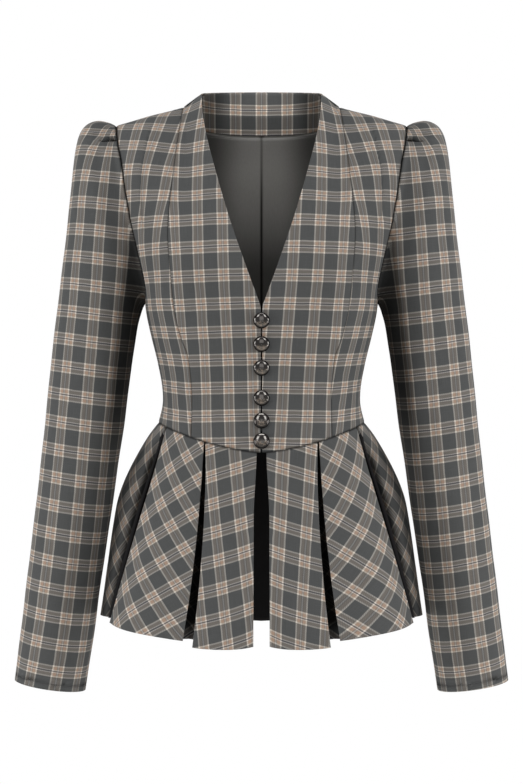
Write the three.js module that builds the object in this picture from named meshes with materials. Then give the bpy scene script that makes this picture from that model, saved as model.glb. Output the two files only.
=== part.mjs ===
// Peplum jacket, filled out and hollow, as if worn.
// Millimetres, +Z up, the front faces -Y, the wearer's left is at +X.
// The origin lies between the two points where the neck meets the shoulders.
import * as THREE from "three";

// Cloth
const BODICE_WALL = 2;
const SLEEVE_WALL = 1.8;
const PEPLUM_WALL = 1.6;
const LINING_WALL = 1.2;
const SEAM_GAP = 0.36;
const LAYER_GAP = 0.5;

// Shoulders and neck
const NECK_HALF_WIDTH = 88.8;
const SHOULDER_SLOPE = 0.282;
const PRINCESS_AT_SHOULDER = 93.8;
const COLLAR_TOP_HALF_WIDTH = 72;
const COLLAR_SIDE_RISE = 0.9;
const COLLAR_SIDE_Z = 15;
const COLLAR_BACK_Y = 79;
const COLLAR_BACK_Z = 27;
const BACK_NECK_Z = -3;
const BACK_NECK_RIDGE = 150;
const SHOULDER_ROUND_START = -140;
const SHOULDER_ROUND = { neck: 1.5, tip: 2.2, from: 80, to: 150 };
const UNDERARM_Z = -238;

// Waist and front edge
const WAIST_SIDE_Z = -379;
const WAIST_FRONT_DIP = 33;
const WAIST_BACK_DIP = 13;
const WAIST_DIP_POWER = 1.35;

// Bust fullness of the princess seams
const BUST = { x: 82, z: -180, out: 9, width: 40, height: 48 };

// Peplum
const PEPLUM_FLARE = { front: 29, side: 68, back: 54 };
const WAIST_GAP = 0.5;
const PLEAT_RECESS = { waist: 2.6, hem: 20 };
const PLEAT_TUCK = { waist: 0.2, hem: 8 };
const PLEAT_GAP = { waist: 1.2, hem: 11 };
const PLEAT_OPENING = 0.75;

// Buttons
const BUTTON_RADIUS = 9.3;
const BUTTON_STAND_OFF = 0.5;

const COLOURS = {
  plaid: 0x6f6b68,
  plaidDark: 0x5f5c5a,
  lining: 0x4f4e4c,
  black: 0x1b1b1d,
  metal: 0x6d6a66,
};

const DEGREE = Math.PI / 180;

function mix(a, b, t) {
  return a + (b - a) * t;
}

function signedPower(value, power) {
  return Math.sign(value) * Math.pow(Math.abs(value), power);
}

function table(names, rows) {
  return rows.map((row) => Object.fromEntries(names.map((name, i) => [name, row[i]])));
}

// A smooth reading of a table at a value of its first column, which rises from row to row.
function read(rows, key, value) {
  const last = rows.length - 1;
  let i = 0;
  while (i < last - 1 && value > rows[i + 1][key]) {
    i += 1;
  }
  const span = rows[i + 1][key] - rows[i][key];
  const t = Math.min(1, Math.max(0, (value - rows[i][key]) / span));
  const result = {};
  for (const name of Object.keys(rows[0])) {
    const slopeAt = (k) => {
      const below = rows[Math.max(0, k - 1)];
      const above = rows[Math.min(last, k + 1)];
      return (above[name] - below[name]) / (above[key] - below[key]);
    };
    const t2 = t * t;
    const t3 = t2 * t;
    result[name] =
      (2 * t3 - 3 * t2 + 1) * rows[i][name] +
      (t3 - 2 * t2 + t) * slopeAt(i) * span +
      (3 * t2 - 2 * t3) * rows[i + 1][name] +
      (t3 - t2) * slopeAt(i + 1) * span;
  }
  return result;
}

// Level rings of the bodice: half width, y of the side seam, reach to the front and back, roundness
const TORSO = table(["z", "half", "side", "front", "back", "round"], [
  [-430, 141, -12, 112, 102, 2.2],
  [-379, 123, -12, 104, 95, 2.2],
  [-352, 117.6, -12, 101, 92, 2.2],
  [-309, 123.6, -10, 107, 94, 2.25],
  [-280, 131, -9, 113, 97, 2.3],
  [-252, 137, -7, 119, 99, 2.35],
  [-221, 142, -5, 123, 102, 2.4],
  [-180, 155, -3, 123, 105, 2.4],
  [-140, 167, -1, 113, 107, 2.5],
  [-100, 175, 0, 101, 107, 2.8],
  [-60, 178, 0, 95, 104, 3.2],
  [0, 180, 0, 90, 100, 3.4],
  [60, 180, 0, 85, 96, 3.4],
]);

// Distance of a seam from the centre line, or its turn round from the side seam in degrees
const NECK_EDGE = table(["z", "x"], [
  [-430, 1], [-300, 1], [-250, 1], [-243, 2], [-233, 5.7], [-180, 24.6], [-132, 40.3],
  [-80, 55.1], [-36, 66.2], [2, 71.8], [30, 72.5],
]);
const FRONT_PRINCESS = table(["z", "x"], [
  [-430, 82.4], [-394, 81.6], [-352, 81.1], [-329, 82.2], [-300, 86], [-282, 93], [-251, 100.8],
  [-223, 104], [-194, 106.4], [-168, 108.3], [-145, 108], [-108, 105], [-2, 93.8], [20, 92],
]);
const BACK_PRINCESS = table(["z", "x"], [
  [-430, 66], [-392, 63], [-352, 61], [-300, 66], [-240, 76], [-180, 84], [-120, 90], [-2, 93.8], [20, 94],
]);
const ARMHOLE = table(["z", "front", "back"], [
  [-238, 0, 0], [-234, 9, 9], [-222, 16, 16.5], [-192, 21, 22.5], [-150, 24.3, 26], [-117, 26.4, 28],
  [-74, 26.5, 28], [-50, 22.5, 24], [-24, 18.6, 18.6],
]);

// The shares of the way from waist seam to shoulder at which the bodice is measured
const LOWER_ROWS = 6;
const UNDERARM_RISE = (UNDERARM_Z - WAIST_SIDE_Z) / (-24 - WAIST_SIDE_Z);
const UPPER_ROWS = [0.03, 0.07, 0.15, 0.26, 0.38, 0.5, 0.62, 0.73, 0.82, 0.905, 0.95, 0.985, 1];
const ROWS = [
  ...Array.from({ length: LOWER_ROWS + 1 }, (_, i) => (UNDERARM_RISE * i) / LOWER_ROWS),
  ...UPPER_ROWS.map((share) => mix(UNDERARM_RISE, 1, share)),
];

const FRONT = -1;
const BACK = 1;

// Height of the shoulder line, with the neck's rise at its inner end
function ridge(x, face) {
  const reach = Math.abs(x);
  if (face === FRONT && reach < NECK_HALF_WIDTH) {
    return (NECK_HALF_WIDTH - reach) * COLLAR_SIDE_RISE;
  }
  if (face === BACK && reach < PRINCESS_AT_SHOULDER) {
    const low = (NECK_HALF_WIDTH - PRINCESS_AT_SHOULDER) * SHOULDER_SLOPE;
    return low + BACK_NECK_RIDGE * (1 - Math.pow(reach / PRINCESS_AT_SHOULDER, 1.5));
  }
  return (NECK_HALF_WIDTH - reach) * SHOULDER_SLOPE;
}

// A point of the bodice's outer face, at a turn from the side seam and a height
function torso(angle, z, face) {
  const level = read(TORSO, "z", z);
  const x = level.half * signedPower(Math.cos(angle), 2 / level.round);
  const out = signedPower(Math.sin(angle), 2 / level.round);
  const start = SHOULDER_ROUND_START;
  const climb = Math.min(1, Math.max(0, (z - start) / (ridge(x, face) - start)));
  const outwards = THREE.MathUtils.smoothstep(Math.abs(x), SHOULDER_ROUND.from, SHOULDER_ROUND.to);
  const round = mix(SHOULDER_ROUND.neck, SHOULDER_ROUND.tip, outwards);
  const fade = Math.pow(1 - Math.pow(climb, round), 1 / round);
  const reach = face === FRONT ? level.front : level.back;
  const across = (Math.abs(x) - BUST.x) / BUST.width;
  const up = (z - BUST.z) / BUST.height;
  const bust = face === FRONT ? BUST.out * Math.exp(-across * across - up * up) : 0;
  return new THREE.Vector3(x, level.side + face * (reach * out * fade + bust * out), z);
}

function angleOf(x, z) {
  const level = read(TORSO, "z", z);
  const share = Math.min(1, Math.max(-1, x / level.half));
  return Math.acos(signedPower(share, level.round / 2));
}

const SEAMS = {
  neckEdge: (z) => angleOf(read(NECK_EDGE, "z", z).x, z),
  frontPrincess: (z) => angleOf(read(FRONT_PRINCESS, "z", z).x, z),
  frontSide: (z) => (z < UNDERARM_Z ? 0 : read(ARMHOLE, "z", z).front * DEGREE),
  backCentre: () => 90 * DEGREE,
  backPrincess: (z) => angleOf(read(BACK_PRINCESS, "z", z).x, z),
  backSide: (z) => (z < UNDERARM_Z ? 0 : read(ARMHOLE, "z", z).back * DEGREE),
};

function waistZ(angle, face) {
  const side = Math.abs(Math.cos(angle));
  const dip = face === FRONT ? WAIST_FRONT_DIP : WAIST_BACK_DIP;
  return WAIST_SIDE_Z - dip * (1 - Math.pow(side, WAIST_DIP_POWER));
}

// A panel between two seams: p runs from the inner seam to the outer, q from the waist to the top.
function panel(inner, outer, face) {
  const angleAt = (p, z) => mix(SEAMS[inner](z), SEAMS[outer](z), p);
  const ends = (p) => {
    let low = WAIST_SIDE_Z;
    let high = 0;
    for (let i = 0; i < 8; i += 1) {
      low = waistZ(angleAt(p, low), face);
      const x = torso(angleAt(p, high), high, face).x;
      high = face === BACK && x < PRINCESS_AT_SHOULDER ? backNeckZ(x) : ridge(x, face);
    }
    return { low, high };
  };
  return (p, q) => {
    const { low, high } = ends(p);
    const z = mix(low, high, q);
    return torso(angleAt(p, z), z, face);
  };
}

function backNeckZ(x) {
  const share = Math.min(1, Math.abs(x) / PRINCESS_AT_SHOULDER);
  return mix(BACK_NECK_Z, ridge(PRINCESS_AT_SHOULDER, BACK), Math.pow(share, 2));
}

const PANELS = {
  frontCentre: panel("neckEdge", "frontPrincess", FRONT),
  frontSide: panel("frontPrincess", "frontSide", FRONT),
  backCentre: panel("backCentre", "backPrincess", BACK),
  backSide: panel("backPrincess", "backSide", BACK),
};

// The unit normal of a surface, turned away from a point inside it
function normalAt(surface, p, q, inside) {
  const step = 0.002;
  const alongP = surface(p + step, q).sub(surface(p - step, q));
  const up = Math.min(1, q + step);
  const down = Math.max(0, q - step);
  const alongQ = surface(p, up).sub(surface(p, down));
  const normal = alongP.cross(alongQ).normalize();
  const outward = surface(p, q).sub(inside);
  return normal.dot(outward) < 0 ? normal.negate() : normal;
}

function insideOfTorso(point) {
  return new THREE.Vector3(point.x * 0.4, 0, Math.min(point.z, -40));
}

function steps(count) {
  return Array.from({ length: count + 1 }, (_, i) => i / count);
}

// Two grids of points, the outer face and the inner face, drawn back from the edges by half a seam gap
function clothFaces(surface, columns, rows, wall, options = {}) {
  const { inset = 0, edges = { p: true, q: true }, topShift = null } = options;
  const insideOf = options.insideOf ?? insideOfTorso;
  const outer = [];
  const inner = [];
  for (const row of rows) {
    const outerRow = [];
    const innerRow = [];
    for (const column of columns) {
      const half = SEAM_GAP / 2;
      const small = 0.01;
      let p = column;
      let q = row;
      const spanP = surface(Math.min(1, p + small), q).distanceTo(surface(Math.max(0, p - small), q));
      const spanQ = surface(p, Math.min(1, q + small)).distanceTo(surface(p, Math.max(0, q - small)));
      if (edges.p && (p === 0 || p === 1)) {
        p += (p === 0 ? 1 : -1) * (half * small) / spanP;
      }
      if (edges.q && (q === 0 || (q === 1 && !topShift))) {
        q += (q === 0 ? 1 : -1) * (half * small) / spanQ;
      }
      const point = surface(p, q);
      const normal = normalAt(surface, p, q, insideOf(point));
      if (row === 1 && topShift) {
        point.y += topShift;
        normal.setY(0).normalize();
      }
      outerRow.push(point.clone().addScaledVector(normal, -inset));
      innerRow.push(point.clone().addScaledVector(normal, -inset - wall));
    }
    outer.push(outerRow);
    inner.push(innerRow);
  }
  return { outer, inner };
}

function addQuad(triangles, a, b, c, d) {
  triangles.push(a, b, c, a, c, d);
}

function signedVolume(points, triangles) {
  let sum = 0;
  for (let i = 0; i < triangles.length; i += 3) {
    const [a, b, c] = [points[triangles[i]], points[triangles[i + 1]], points[triangles[i + 2]]];
    sum += a.dot(b.clone().cross(c));
  }
  return sum;
}

// One closed wall from its two faces. A tube's columns join round; a sheet has a rim on all four sides.
function wallGeometry(faces, tube = false) {
  const rowCount = faces.outer.length;
  const columnCount = faces.outer[0].length;
  const points = [...faces.outer.flat(), ...faces.inner.flat()];
  const outer = (r, c) => r * columnCount + (c % columnCount);
  const inner = (r, c) => rowCount * columnCount + outer(r, c);
  const triangles = [];
  const lastColumn = tube ? columnCount : columnCount - 1;
  for (let r = 0; r < rowCount - 1; r += 1) {
    for (let c = 0; c < lastColumn; c += 1) {
      addQuad(triangles, outer(r, c), outer(r, c + 1), outer(r + 1, c + 1), outer(r + 1, c));
      addQuad(triangles, inner(r, c), inner(r + 1, c), inner(r + 1, c + 1), inner(r, c + 1));
    }
  }
  for (let c = 0; c < lastColumn; c += 1) {
    const top = rowCount - 1;
    addQuad(triangles, outer(0, c), inner(0, c), inner(0, c + 1), outer(0, c + 1));
    addQuad(triangles, outer(top, c), outer(top, c + 1), inner(top, c + 1), inner(top, c));
  }
  if (!tube) {
    const right = columnCount - 1;
    for (let r = 0; r < rowCount - 1; r += 1) {
      addQuad(triangles, outer(r, 0), outer(r + 1, 0), inner(r + 1, 0), inner(r, 0));
      addQuad(triangles, outer(r, right), inner(r, right), inner(r + 1, right), outer(r + 1, right));
    }
  }
  if (signedVolume(points, triangles) < 0) {
    triangles.reverse();
  }
  const geometry = new THREE.BufferGeometry();
  geometry.setAttribute("position", new THREE.Float32BufferAttribute(points.flatMap((v) => v.toArray()), 3));
  geometry.setIndex(triangles);
  geometry.computeVertexNormals();
  return geometry;
}

function mirrored(faces) {
  const flip = (grid) => grid.map((row) => row.map((v) => new THREE.Vector3(-v.x, v.y, v.z)));
  return { outer: flip(faces.outer), inner: flip(faces.inner) };
}

const group = new THREE.Group();

function addMesh(name, geometry, colour, roughness = 0.9, metalness = 0) {
  const material = new THREE.MeshStandardMaterial({ color: colour, roughness, metalness });
  const mesh = new THREE.Mesh(geometry, material);
  mesh.name = name;
  group.add(mesh);
  return mesh;
}

function addPair(name, faces, colour, tube = false) {
  addMesh(`${name}_left`, wallGeometry(faces, tube), colour);
  addMesh(`${name}_right`, wallGeometry(mirrored(faces), tube), colour);
}

function addBodice() {
  const half = SEAM_GAP / 2;
  const front = { topShift: -half };
  addPair("front_centre", clothFaces(PANELS.frontCentre, steps(7), ROWS, BODICE_WALL, front), COLOURS.plaid);
  addPair("front_side", clothFaces(PANELS.frontSide, steps(8), ROWS, BODICE_WALL, front), COLOURS.plaidDark);
  addPair("back_centre", clothFaces(PANELS.backCentre, steps(8), ROWS, BODICE_WALL), COLOURS.plaid);
  const back = { topShift: half };
  addPair("back_side", clothFaces(PANELS.backSide, steps(7), ROWS, BODICE_WALL, back), COLOURS.plaidDark);
}

// The band that stands up at the back neck: p 0 at the centre back, 1 at the shoulder, q up from its seam
function collar(p, q) {
  const base = PANELS.backCentre(Math.min(1, Math.abs(p)), 1);
  base.z += SEAM_GAP;
  const turn = (1 - Math.abs(p)) * 90 * DEGREE;
  const top = new THREE.Vector3(
    COLLAR_TOP_HALF_WIDTH * Math.cos(turn),
    COLLAR_BACK_Y * Math.sin(turn),
    mix(COLLAR_SIDE_Z, COLLAR_BACK_Z, Math.sin(turn)),
  );
  const point = base.lerp(top, q);
  point.x *= Math.sign(p) || 1;
  return point;
}

const NECK_CENTRE = new THREE.Vector3(0, 0, 0);

function acrossBack(count) {
  return Array.from({ length: 2 * count + 1 }, (_, i) => (i - count) / count);
}

function addCollar() {
  const rows = [0, 0.5, 1];
  const columns = acrossBack(8);
  const grid = (depth) => rows.map((q) => columns.map((p) => {
    const point = collar(p, q);
    const outward = normalAt(collar, Math.min(0.99, Math.max(0.01, Math.abs(p))), q, NECK_CENTRE);
    outward.x *= Math.sign(p);
    outward.setZ(0).normalize();
    if (Math.abs(p) === 1) {
      point.y += SEAM_GAP / 2;
    }
    return point.addScaledVector(outward, -depth);
  }));
  addMesh("collar_back", wallGeometry({ outer: grid(0), inner: grid(BODICE_WALL) }), COLOURS.plaid);
}

// The facing inside the back neck follows the collar down to its seam and then the back.
const FACING_ROWS = [
  { part: "back", q: ROWS[ROWS.length - 4] },
  { part: "back", q: ROWS[ROWS.length - 3] },
  { part: "seam", q: 1 },
  { part: "collar", q: 0.5 },
  { part: "collar", q: 0.96 },
];
const FACING_END = 0.93;
const LINING_EDGE = 0.875;
const LINING_TOP = ROWS[ROWS.length - 4] - 0.007;

function addFacing() {
  const columns = acrossBack(8);
  const grid = (depth) => FACING_ROWS.map((row) => columns.map((p) => {
    const share = Math.min(FACING_END, Math.max(0.01, Math.abs(p)));
    const point = (row.part === "collar" ? collar : PANELS.backCentre)(Math.min(FACING_END, Math.abs(p)), row.q);
    const inside = insideOfTorso(point);
    const standing = normalAt(collar, share, row.part === "collar" ? row.q : 0, NECK_CENTRE).setZ(0).normalize();
    const lying = normalAt(PANELS.backCentre, share, row.part === "back" ? row.q : 0.99, inside);
    const corner = standing.clone().add(lying).divideScalar(1 + standing.dot(lying));
    const outward = { collar: standing, seam: corner, back: lying }[row.part];
    point.addScaledVector(outward, -depth - 5 * LAYER_GAP * Math.max(0, Math.abs(p) - 0.5));
    point.x *= Math.sign(p);
    return point;
  }));
  const depth = BODICE_WALL + LAYER_GAP;
  const faces = { outer: grid(depth), inner: grid(depth + LINING_WALL) };
  addMesh("neck_facing", wallGeometry(faces), COLOURS.plaid);
}

function addLining() {
  const rows = [0.012, ...ROWS.filter((q) => q > 0.02 && q < LINING_TOP - 0.01), LINING_TOP];
  const columns = steps(8).slice(0, 8).map((p) => Math.min(LINING_EDGE, Math.max(0.003, p)));
  const inset = BODICE_WALL + LAYER_GAP;
  const faces = clothFaces(PANELS.backCentre, columns, rows, LINING_WALL, { inset });
  addPair("lining_back", faces, COLOURS.lining);
}

// Rings of the sleeve below its seam: the outermost and innermost points, half depth, y of the middle,
// and how far the ring has left the armhole's shape for an oval
const SLEEVE = table(["step", "outX", "outZ", "inX", "inZ", "depth", "y", "oval"], [
  [1, 183, -19.5, 140.6, -239.2, 54, 1, 0.1],
  [2, 197, -17.5, 141.6, -240.8, 57, 1, 0.28],
  [3, 209, -22, 142.6, -243, 60, 1, 0.5],
  [4, 217, -32, 143.6, -246, 62, 1, 0.7],
  [5, 222, -49, 144.8, -250, 63, 1, 0.86],
  [6, 226, -77, 146.2, -255, 62, 0, 0.95],
  [7, 229.5, -114, 148.5, -265, 61, 0, 1],
  [8, 234, -156, 151.5, -284, 60, -1, 1],
  [9, 239.5, -203, 155.5, -309, 59, -2, 1],
  [10, 245.5, -252, 159.6, -343, 57, -3, 1],
  [11, 251.5, -305, 164, -379, 55.5, -5, 1],
  [12, 257, -362, 169.5, -416, 54, -7, 1],
  [13, 263, -422, 176, -463, 52, -10, 1],
  [14, 270, -485, 183.5, -516, 51, -13, 1],
  [15, 277, -545, 191.5, -570, 50, -16, 1],
  [16, 284.5, -609, 199, -628, 48.5, -18, 1],
  [17, 293.4, -684.5, 209.4, -697.3, 47, -21, 1],
]);

// The tuck that gathers the sleeve head before and behind the shoulder tip: how far each column of the
// sleeve, counted from the tip, is pushed out, and the share of it on each ring below the seam
const SLEEVE_TUCK = { out: [0, 1, 4.5, -3.5, -1], rings: [1, 0.8, 0.4, 0.1] };

// The armhole seam as one loop: from the shoulder tip down the front to the underarm and up the back
function armholeLoop() {
  const open = ROWS.filter((q) => q >= UNDERARM_RISE - 1e-9);
  const front = open.map((q) => PANELS.frontSide(1, q));
  const back = open.map((q) => PANELS.backSide(1, q));
  return [...front.reverse(), ...back.slice(1, -1)];
}

function sleeveRings() {
  const loop = armholeLoop();
  const top = loop[0];
  const bottom = loop.reduce((low, point) => (point.z < low.z ? point : low));
  const middle = top.clone().add(bottom).multiplyScalar(0.5);
  const half = top.clone().sub(bottom).multiplyScalar(0.5);
  const lengths = loop.map((point, i) => point.distanceTo(loop[(i + 1) % loop.length]));
  const total = lengths.reduce((sum, length) => sum + length, 0);
  let along = 0;
  const marks = loop.map((point, i) => {
    const offset = point.clone().sub(middle);
    const rise = offset.z / half.z;
    const mark = { turn: (along / total) * 2 * Math.PI, rise, y: offset.y, bulge: offset.x - half.x * rise };
    along += lengths[i];
    return mark;
  });
  const ringAt = (row, ring) => {
    const centre = new THREE.Vector3((row.outX + row.inX) / 2, row.y, (row.outZ + row.inZ) / 2);
    const reach = new THREE.Vector3((row.outX - row.inX) / 2, 0, (row.outZ - row.inZ) / 2);
    return marks.map((mark, i) => {
      const rise = mix(mark.rise, Math.cos(mark.turn), row.oval);
      const side = mix(mark.y, -row.depth * Math.sin(mark.turn), row.oval);
      const point = centre.clone().addScaledVector(reach, rise);
      point.y += side;
      point.x += mark.bulge * (1 - row.oval);
      const tuck = (SLEEVE_TUCK.out[Math.min(i, marks.length - i)] ?? 0) * (SLEEVE_TUCK.rings[ring] ?? 0);
      return point.addScaledVector(point.clone().sub(centre).normalize(), tuck);
    });
  };
  const first = loop.map((point) => point.clone().add(new THREE.Vector3(SEAM_GAP, 0, 0)));
  return [first, ...SLEEVE.map(ringAt)];
}

// The inner face of a tube of rings, a wall's thickness inside its outer face
function insideOfRings(rings, wall) {
  const count = rings[0].length;
  return rings.map((ring, r) => {
    const centre = ring.reduce((sum, point) => sum.add(point), new THREE.Vector3()).divideScalar(count);
    const above = rings[Math.max(0, r - 1)];
    const below = rings[Math.min(rings.length - 1, r + 1)];
    return ring.map((point, i) => {
      const around = ring[(i + 1) % count].clone().sub(ring[(i + count - 1) % count]);
      const along = below[i].clone().sub(above[i]);
      const normal = around.cross(along).normalize();
      if (normal.dot(point.clone().sub(centre)) < 0) {
        normal.negate();
      }
      return point.clone().addScaledVector(normal, -wall);
    });
  });
}

function addSleeves() {
  const rings = sleeveRings();
  const faces = { outer: rings, inner: insideOfRings(rings, SLEEVE_WALL) };
  addPair("sleeve", faces, COLOURS.plaidDark, true);
}

// The peplum's pieces: where each starts and ends round from the side seam, in degrees, 90 at the centre
// front and -90 at the centre back, its hem at the start and end, how far its start lies behind, and its
// soft fullness between the pleats
const PEPLUM = table(["name", "start", "end", "hemStart", "hemEnd", "behind", "full"], [
  ["front", 88.2, 62, -635.5, -633, 0, 2],
  ["side_front", 62, 27, -625, -611, 0, 5],
  ["side", 27, -28, -607, -608, 12, 1],
  ["side_back", -28, -62, -612, -626, 0, 5],
]);
const BACK_PIECE = { start: -62, end: -90, hemStart: -629, hemEnd: -632, behind: 0, full: 3 };

// How much of the flare is reached at a share of the drop, at the centre front, on the line of each
// pleat from the front round to the back, and at the centre back
const BELL_TURNS = [90, 62, 27, 0, -28, -62, -90];
const PEPLUM_BELL = table(["drop", "t0", "t1", "t2", "t3", "t4", "t5", "t6"], [
  [0, 0, 0, 0, 0, 0, 0, 0],
  [0.075, 0.04, 0.01, 0.075, 0.19, 0.1, 0.1, 0.13],
  [0.204, 0.14, 0.06, 0.204, 0.44, 0.26, 0.26, 0.31],
  [0.327, 0.25, 0.14, 0.327, 0.63, 0.4, 0.4, 0.46],
  [0.416, 0.33, 0.21, 0.416, 0.73, 0.49, 0.49, 0.55],
  [0.518, 0.44, 0.31, 0.518, 0.79, 0.59, 0.59, 0.65],
  [0.646, 0.58, 0.46, 0.646, 0.85, 0.71, 0.71, 0.76],
  [0.774, 0.73, 0.63, 0.774, 0.91, 0.82, 0.82, 0.86],
  [1, 1, 1, 1, 1, 1, 1, 1],
]);

function bellAt(degrees, drop) {
  const row = read(PEPLUM_BELL, "drop", drop);
  let i = 0;
  while (i < BELL_TURNS.length - 2 && degrees < BELL_TURNS[i + 1]) {
    i += 1;
  }
  const share = (BELL_TURNS[i] - degrees) / (BELL_TURNS[i] - BELL_TURNS[i + 1]);
  return mix(row[`t${i}`], row[`t${i + 1}`], Math.min(1, Math.max(0, share)));
}

// A point of the peplum's outer form and its level outward direction, at a turn and a share of the drop
function peplumForm(degrees, drop, hemZ) {
  const turn = Math.abs(degrees) * DEGREE;
  const face = degrees >= 0 ? FRONT : BACK;
  const seam = torso(turn, waistZ(turn, face), face);
  const level = read(TORSO, "z", seam.z);
  const reach = face === FRONT ? level.front : level.back;
  const power = level.round - 1;
  const outX = signedPower(seam.x / level.half, power) / level.half;
  const outY = face * Math.pow(Math.abs(seam.y - level.side) / reach, power) / reach;
  const outward = new THREE.Vector3(outX, outY, 0).normalize();
  const end = face === FRONT ? "front" : "back";
  const share = Math.cos(turn);
  const flare = mix(PEPLUM_FLARE[end], PEPLUM_FLARE.side, share);
  const point = seam.clone().addScaledVector(outward, flare * bellAt(degrees, drop));
  point.z = mix(seam.z - WAIST_GAP, hemZ, drop);
  return { point, outward };
}

// The pleat's section: along the cloth from the middle of its underlay to the edge of the piece
function pleatSection(drop) {
  const gap = mix(PLEAT_GAP.waist, PLEAT_GAP.hem, Math.pow(drop, PLEAT_OPENING)) / 2;
  const recess = mix(PLEAT_RECESS.waist, PLEAT_RECESS.hem, Math.pow(drop, PLEAT_OPENING));
  const tuck = mix(PLEAT_TUCK.waist, PLEAT_TUCK.hem, drop);
  return [
    { along: SEAM_GAP / 2, deep: recess },
    { along: gap + tuck * 0.3, deep: recess },
    { along: gap + tuck, deep: recess * 0.55 },
    { along: gap, deep: 0 },
  ];
}

// A line of points and the same line a wall's thickness deeper, with mitred corners
function thicken(line, wall) {
  return line.map((point, i) => {
    const before = line[Math.max(0, i - 1)];
    const after = line[Math.min(line.length - 1, i + 1)];
    const unit = (a, b) => {
      const length = Math.hypot(b.along - a.along, b.deep - a.deep) || 1;
      return { along: (b.along - a.along) / length, deep: (b.deep - a.deep) / length };
    };
    const first = i > 0 ? unit(before, point) : unit(point, after);
    const second = i < line.length - 1 ? unit(point, after) : first;
    const side = (d) => ({ along: -d.deep, deep: d.along });
    const a = side(first);
    const b = side(second);
    const spread = 1 + a.along * b.along + a.deep * b.deep;
    const scale = wall / Math.max(0.22, spread);
    return { along: point.along + (a.along + b.along) * scale, deep: point.deep + (a.deep + b.deep) * scale };
  });
}

const PEPLUM_ROWS = [0, 0.07, 0.16, 0.28, 0.42, 0.58, 0.78, 1];
const PEPLUM_COLUMNS = 5;

// Both faces of one piece of the peplum, with half a pleat at its start and its end where it has them
function peplumFaces(piece, pleatAtStart, pleatAtEnd) {
  const outer = [];
  const inner = [];
  for (const drop of PEPLUM_ROWS) {
    const outerRow = [];
    const innerRow = [];
    const at = (share) => {
      const degrees = mix(piece.start, piece.end, share);
      return peplumForm(degrees, drop, mix(piece.hemStart, piece.hemEnd, share));
    };
    const span = steps(40).slice(1).reduce((sum, t) => sum + at(t).point.distanceTo(at(t - 1 / 40).point), 0);
    const section = pleatSection(drop);
    const edge = section[section.length - 1].along;
    const from = pleatAtStart ? edge : SEAM_GAP / 2;
    const to = span - (pleatAtEnd ? edge : 0);
    const line = [];
    if (pleatAtStart) {
      line.push(...section.map((s) => ({ along: s.along, deep: s.deep + piece.behind * drop * 0.3 })));
      line.pop();
    }
    for (const share of steps(PEPLUM_COLUMNS)) {
      const along = mix(from, to, share);
      const behind = piece.behind * drop * Math.pow(Math.max(0, 1 - (along - from) / 45), 2);
      const full = piece.full * drop * Math.sin(Math.PI * share);
      line.push({ along, deep: behind - full });
    }
    if (pleatAtEnd) {
      line.pop();
      line.push(...section.map((s) => ({ along: span - s.along, deep: s.deep })).reverse());
    }
    const deeper = thicken(line, PEPLUM_WALL);
    const place = (s) => {
      const { point, outward } = at(s.along / span);
      return point.addScaledVector(outward, -s.deep);
    };
    outerRow.push(...line.map(place));
    innerRow.push(...deeper.map(place));
    outer.push(outerRow);
    inner.push(innerRow);
  }
  return { outer, inner };
}

function addPeplum() {
  PEPLUM.forEach((piece, i) => {
    addPair(`peplum_${piece.name}`, peplumFaces(piece, i > 0, true), COLOURS.plaid);
  });
  const half = peplumFaces(BACK_PIECE, true, false);
  const whole = (grid) => grid.map((row) => {
    const other = row.slice(0, -1).map((v) => new THREE.Vector3(-v.x, v.y, v.z)).reverse();
    const middle = row[row.length - 1].clone().setX(0);
    return [...row.slice(0, -1), middle, ...other];
  });
  const faces = { outer: whole(half.outer), inner: whole(half.inner) };
  addMesh("peplum_back", wallGeometry(faces), COLOURS.plaid);
}

const PEPLUM_LINING = { reach: 22, hemZ: -628, sideRise: 22, columns: 14, waist: 5.2, hem: 26 };

function addPeplumLining() {
  const rows = steps(5).map((t) => mix(0.02, 1, t));
  const grid = (extra) => rows.map((drop) => steps(PEPLUM_LINING.columns).map((share) => {
    const degrees = mix(PEPLUM_LINING.reach, 180 - PEPLUM_LINING.reach, share);
    const turn = degrees > 90 ? 180 - degrees : degrees;
    const hemZ = PEPLUM_LINING.hemZ + PEPLUM_LINING.sideRise * Math.pow(Math.cos(turn * DEGREE), 2);
    const { point, outward } = peplumForm(-turn, drop, hemZ);
    const depth = mix(PEPLUM_LINING.waist, PEPLUM_LINING.hem, Math.pow(drop, PLEAT_OPENING));
    point.addScaledVector(outward, -depth - extra);
    point.x *= degrees > 90 ? -1 : 1;
    return point;
  }));
  const faces = { outer: grid(0), inner: grid(LINING_WALL) };
  addMesh("lining_peplum", wallGeometry(faces), COLOURS.black);
}

const BUTTON_HEIGHTS = [-261.1, -287.9, -315.2, -349.8, -375.9, -399.2];
const BUTTON_PROFILE = table(["radius", "height"], [
  [0, 0], [7.6, 0], [9.1, 0.9], [9.3, 2], [8.5, 3], [6.4, 4.7], [3.4, 5.8], [0, 6.2],
]);

function addButtons() {
  BUTTON_HEIGHTS.forEach((z, i) => {
    const profile = BUTTON_PROFILE.map((row) => new THREE.Vector2(row.radius, row.height));
    const geometry = new THREE.LatheGeometry(profile, 14);
    const mesh = addMesh(`button_${i + 1}`, geometry, COLOURS.metal, 0.35, 1);
    const seat = torso(90 * DEGREE, z, FRONT);
    const above = torso(90 * DEGREE, z + BUTTON_RADIUS, FRONT);
    const below = torso(90 * DEGREE, z - BUTTON_RADIUS, FRONT);
    const bridge = Math.min(seat.y, (above.y + below.y) / 2);
    mesh.position.set(0, bridge - BUTTON_STAND_OFF, z);
    const lean = Math.atan2(above.y - below.y, 2 * BUTTON_RADIUS);
    mesh.rotation.x = 180 * DEGREE - lean;
  });
}

addBodice();
addCollar();
addFacing();
addLining();
addSleeves();
addPeplum();
addPeplumLining();
addButtons();

export default group;
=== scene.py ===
import math

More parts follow.
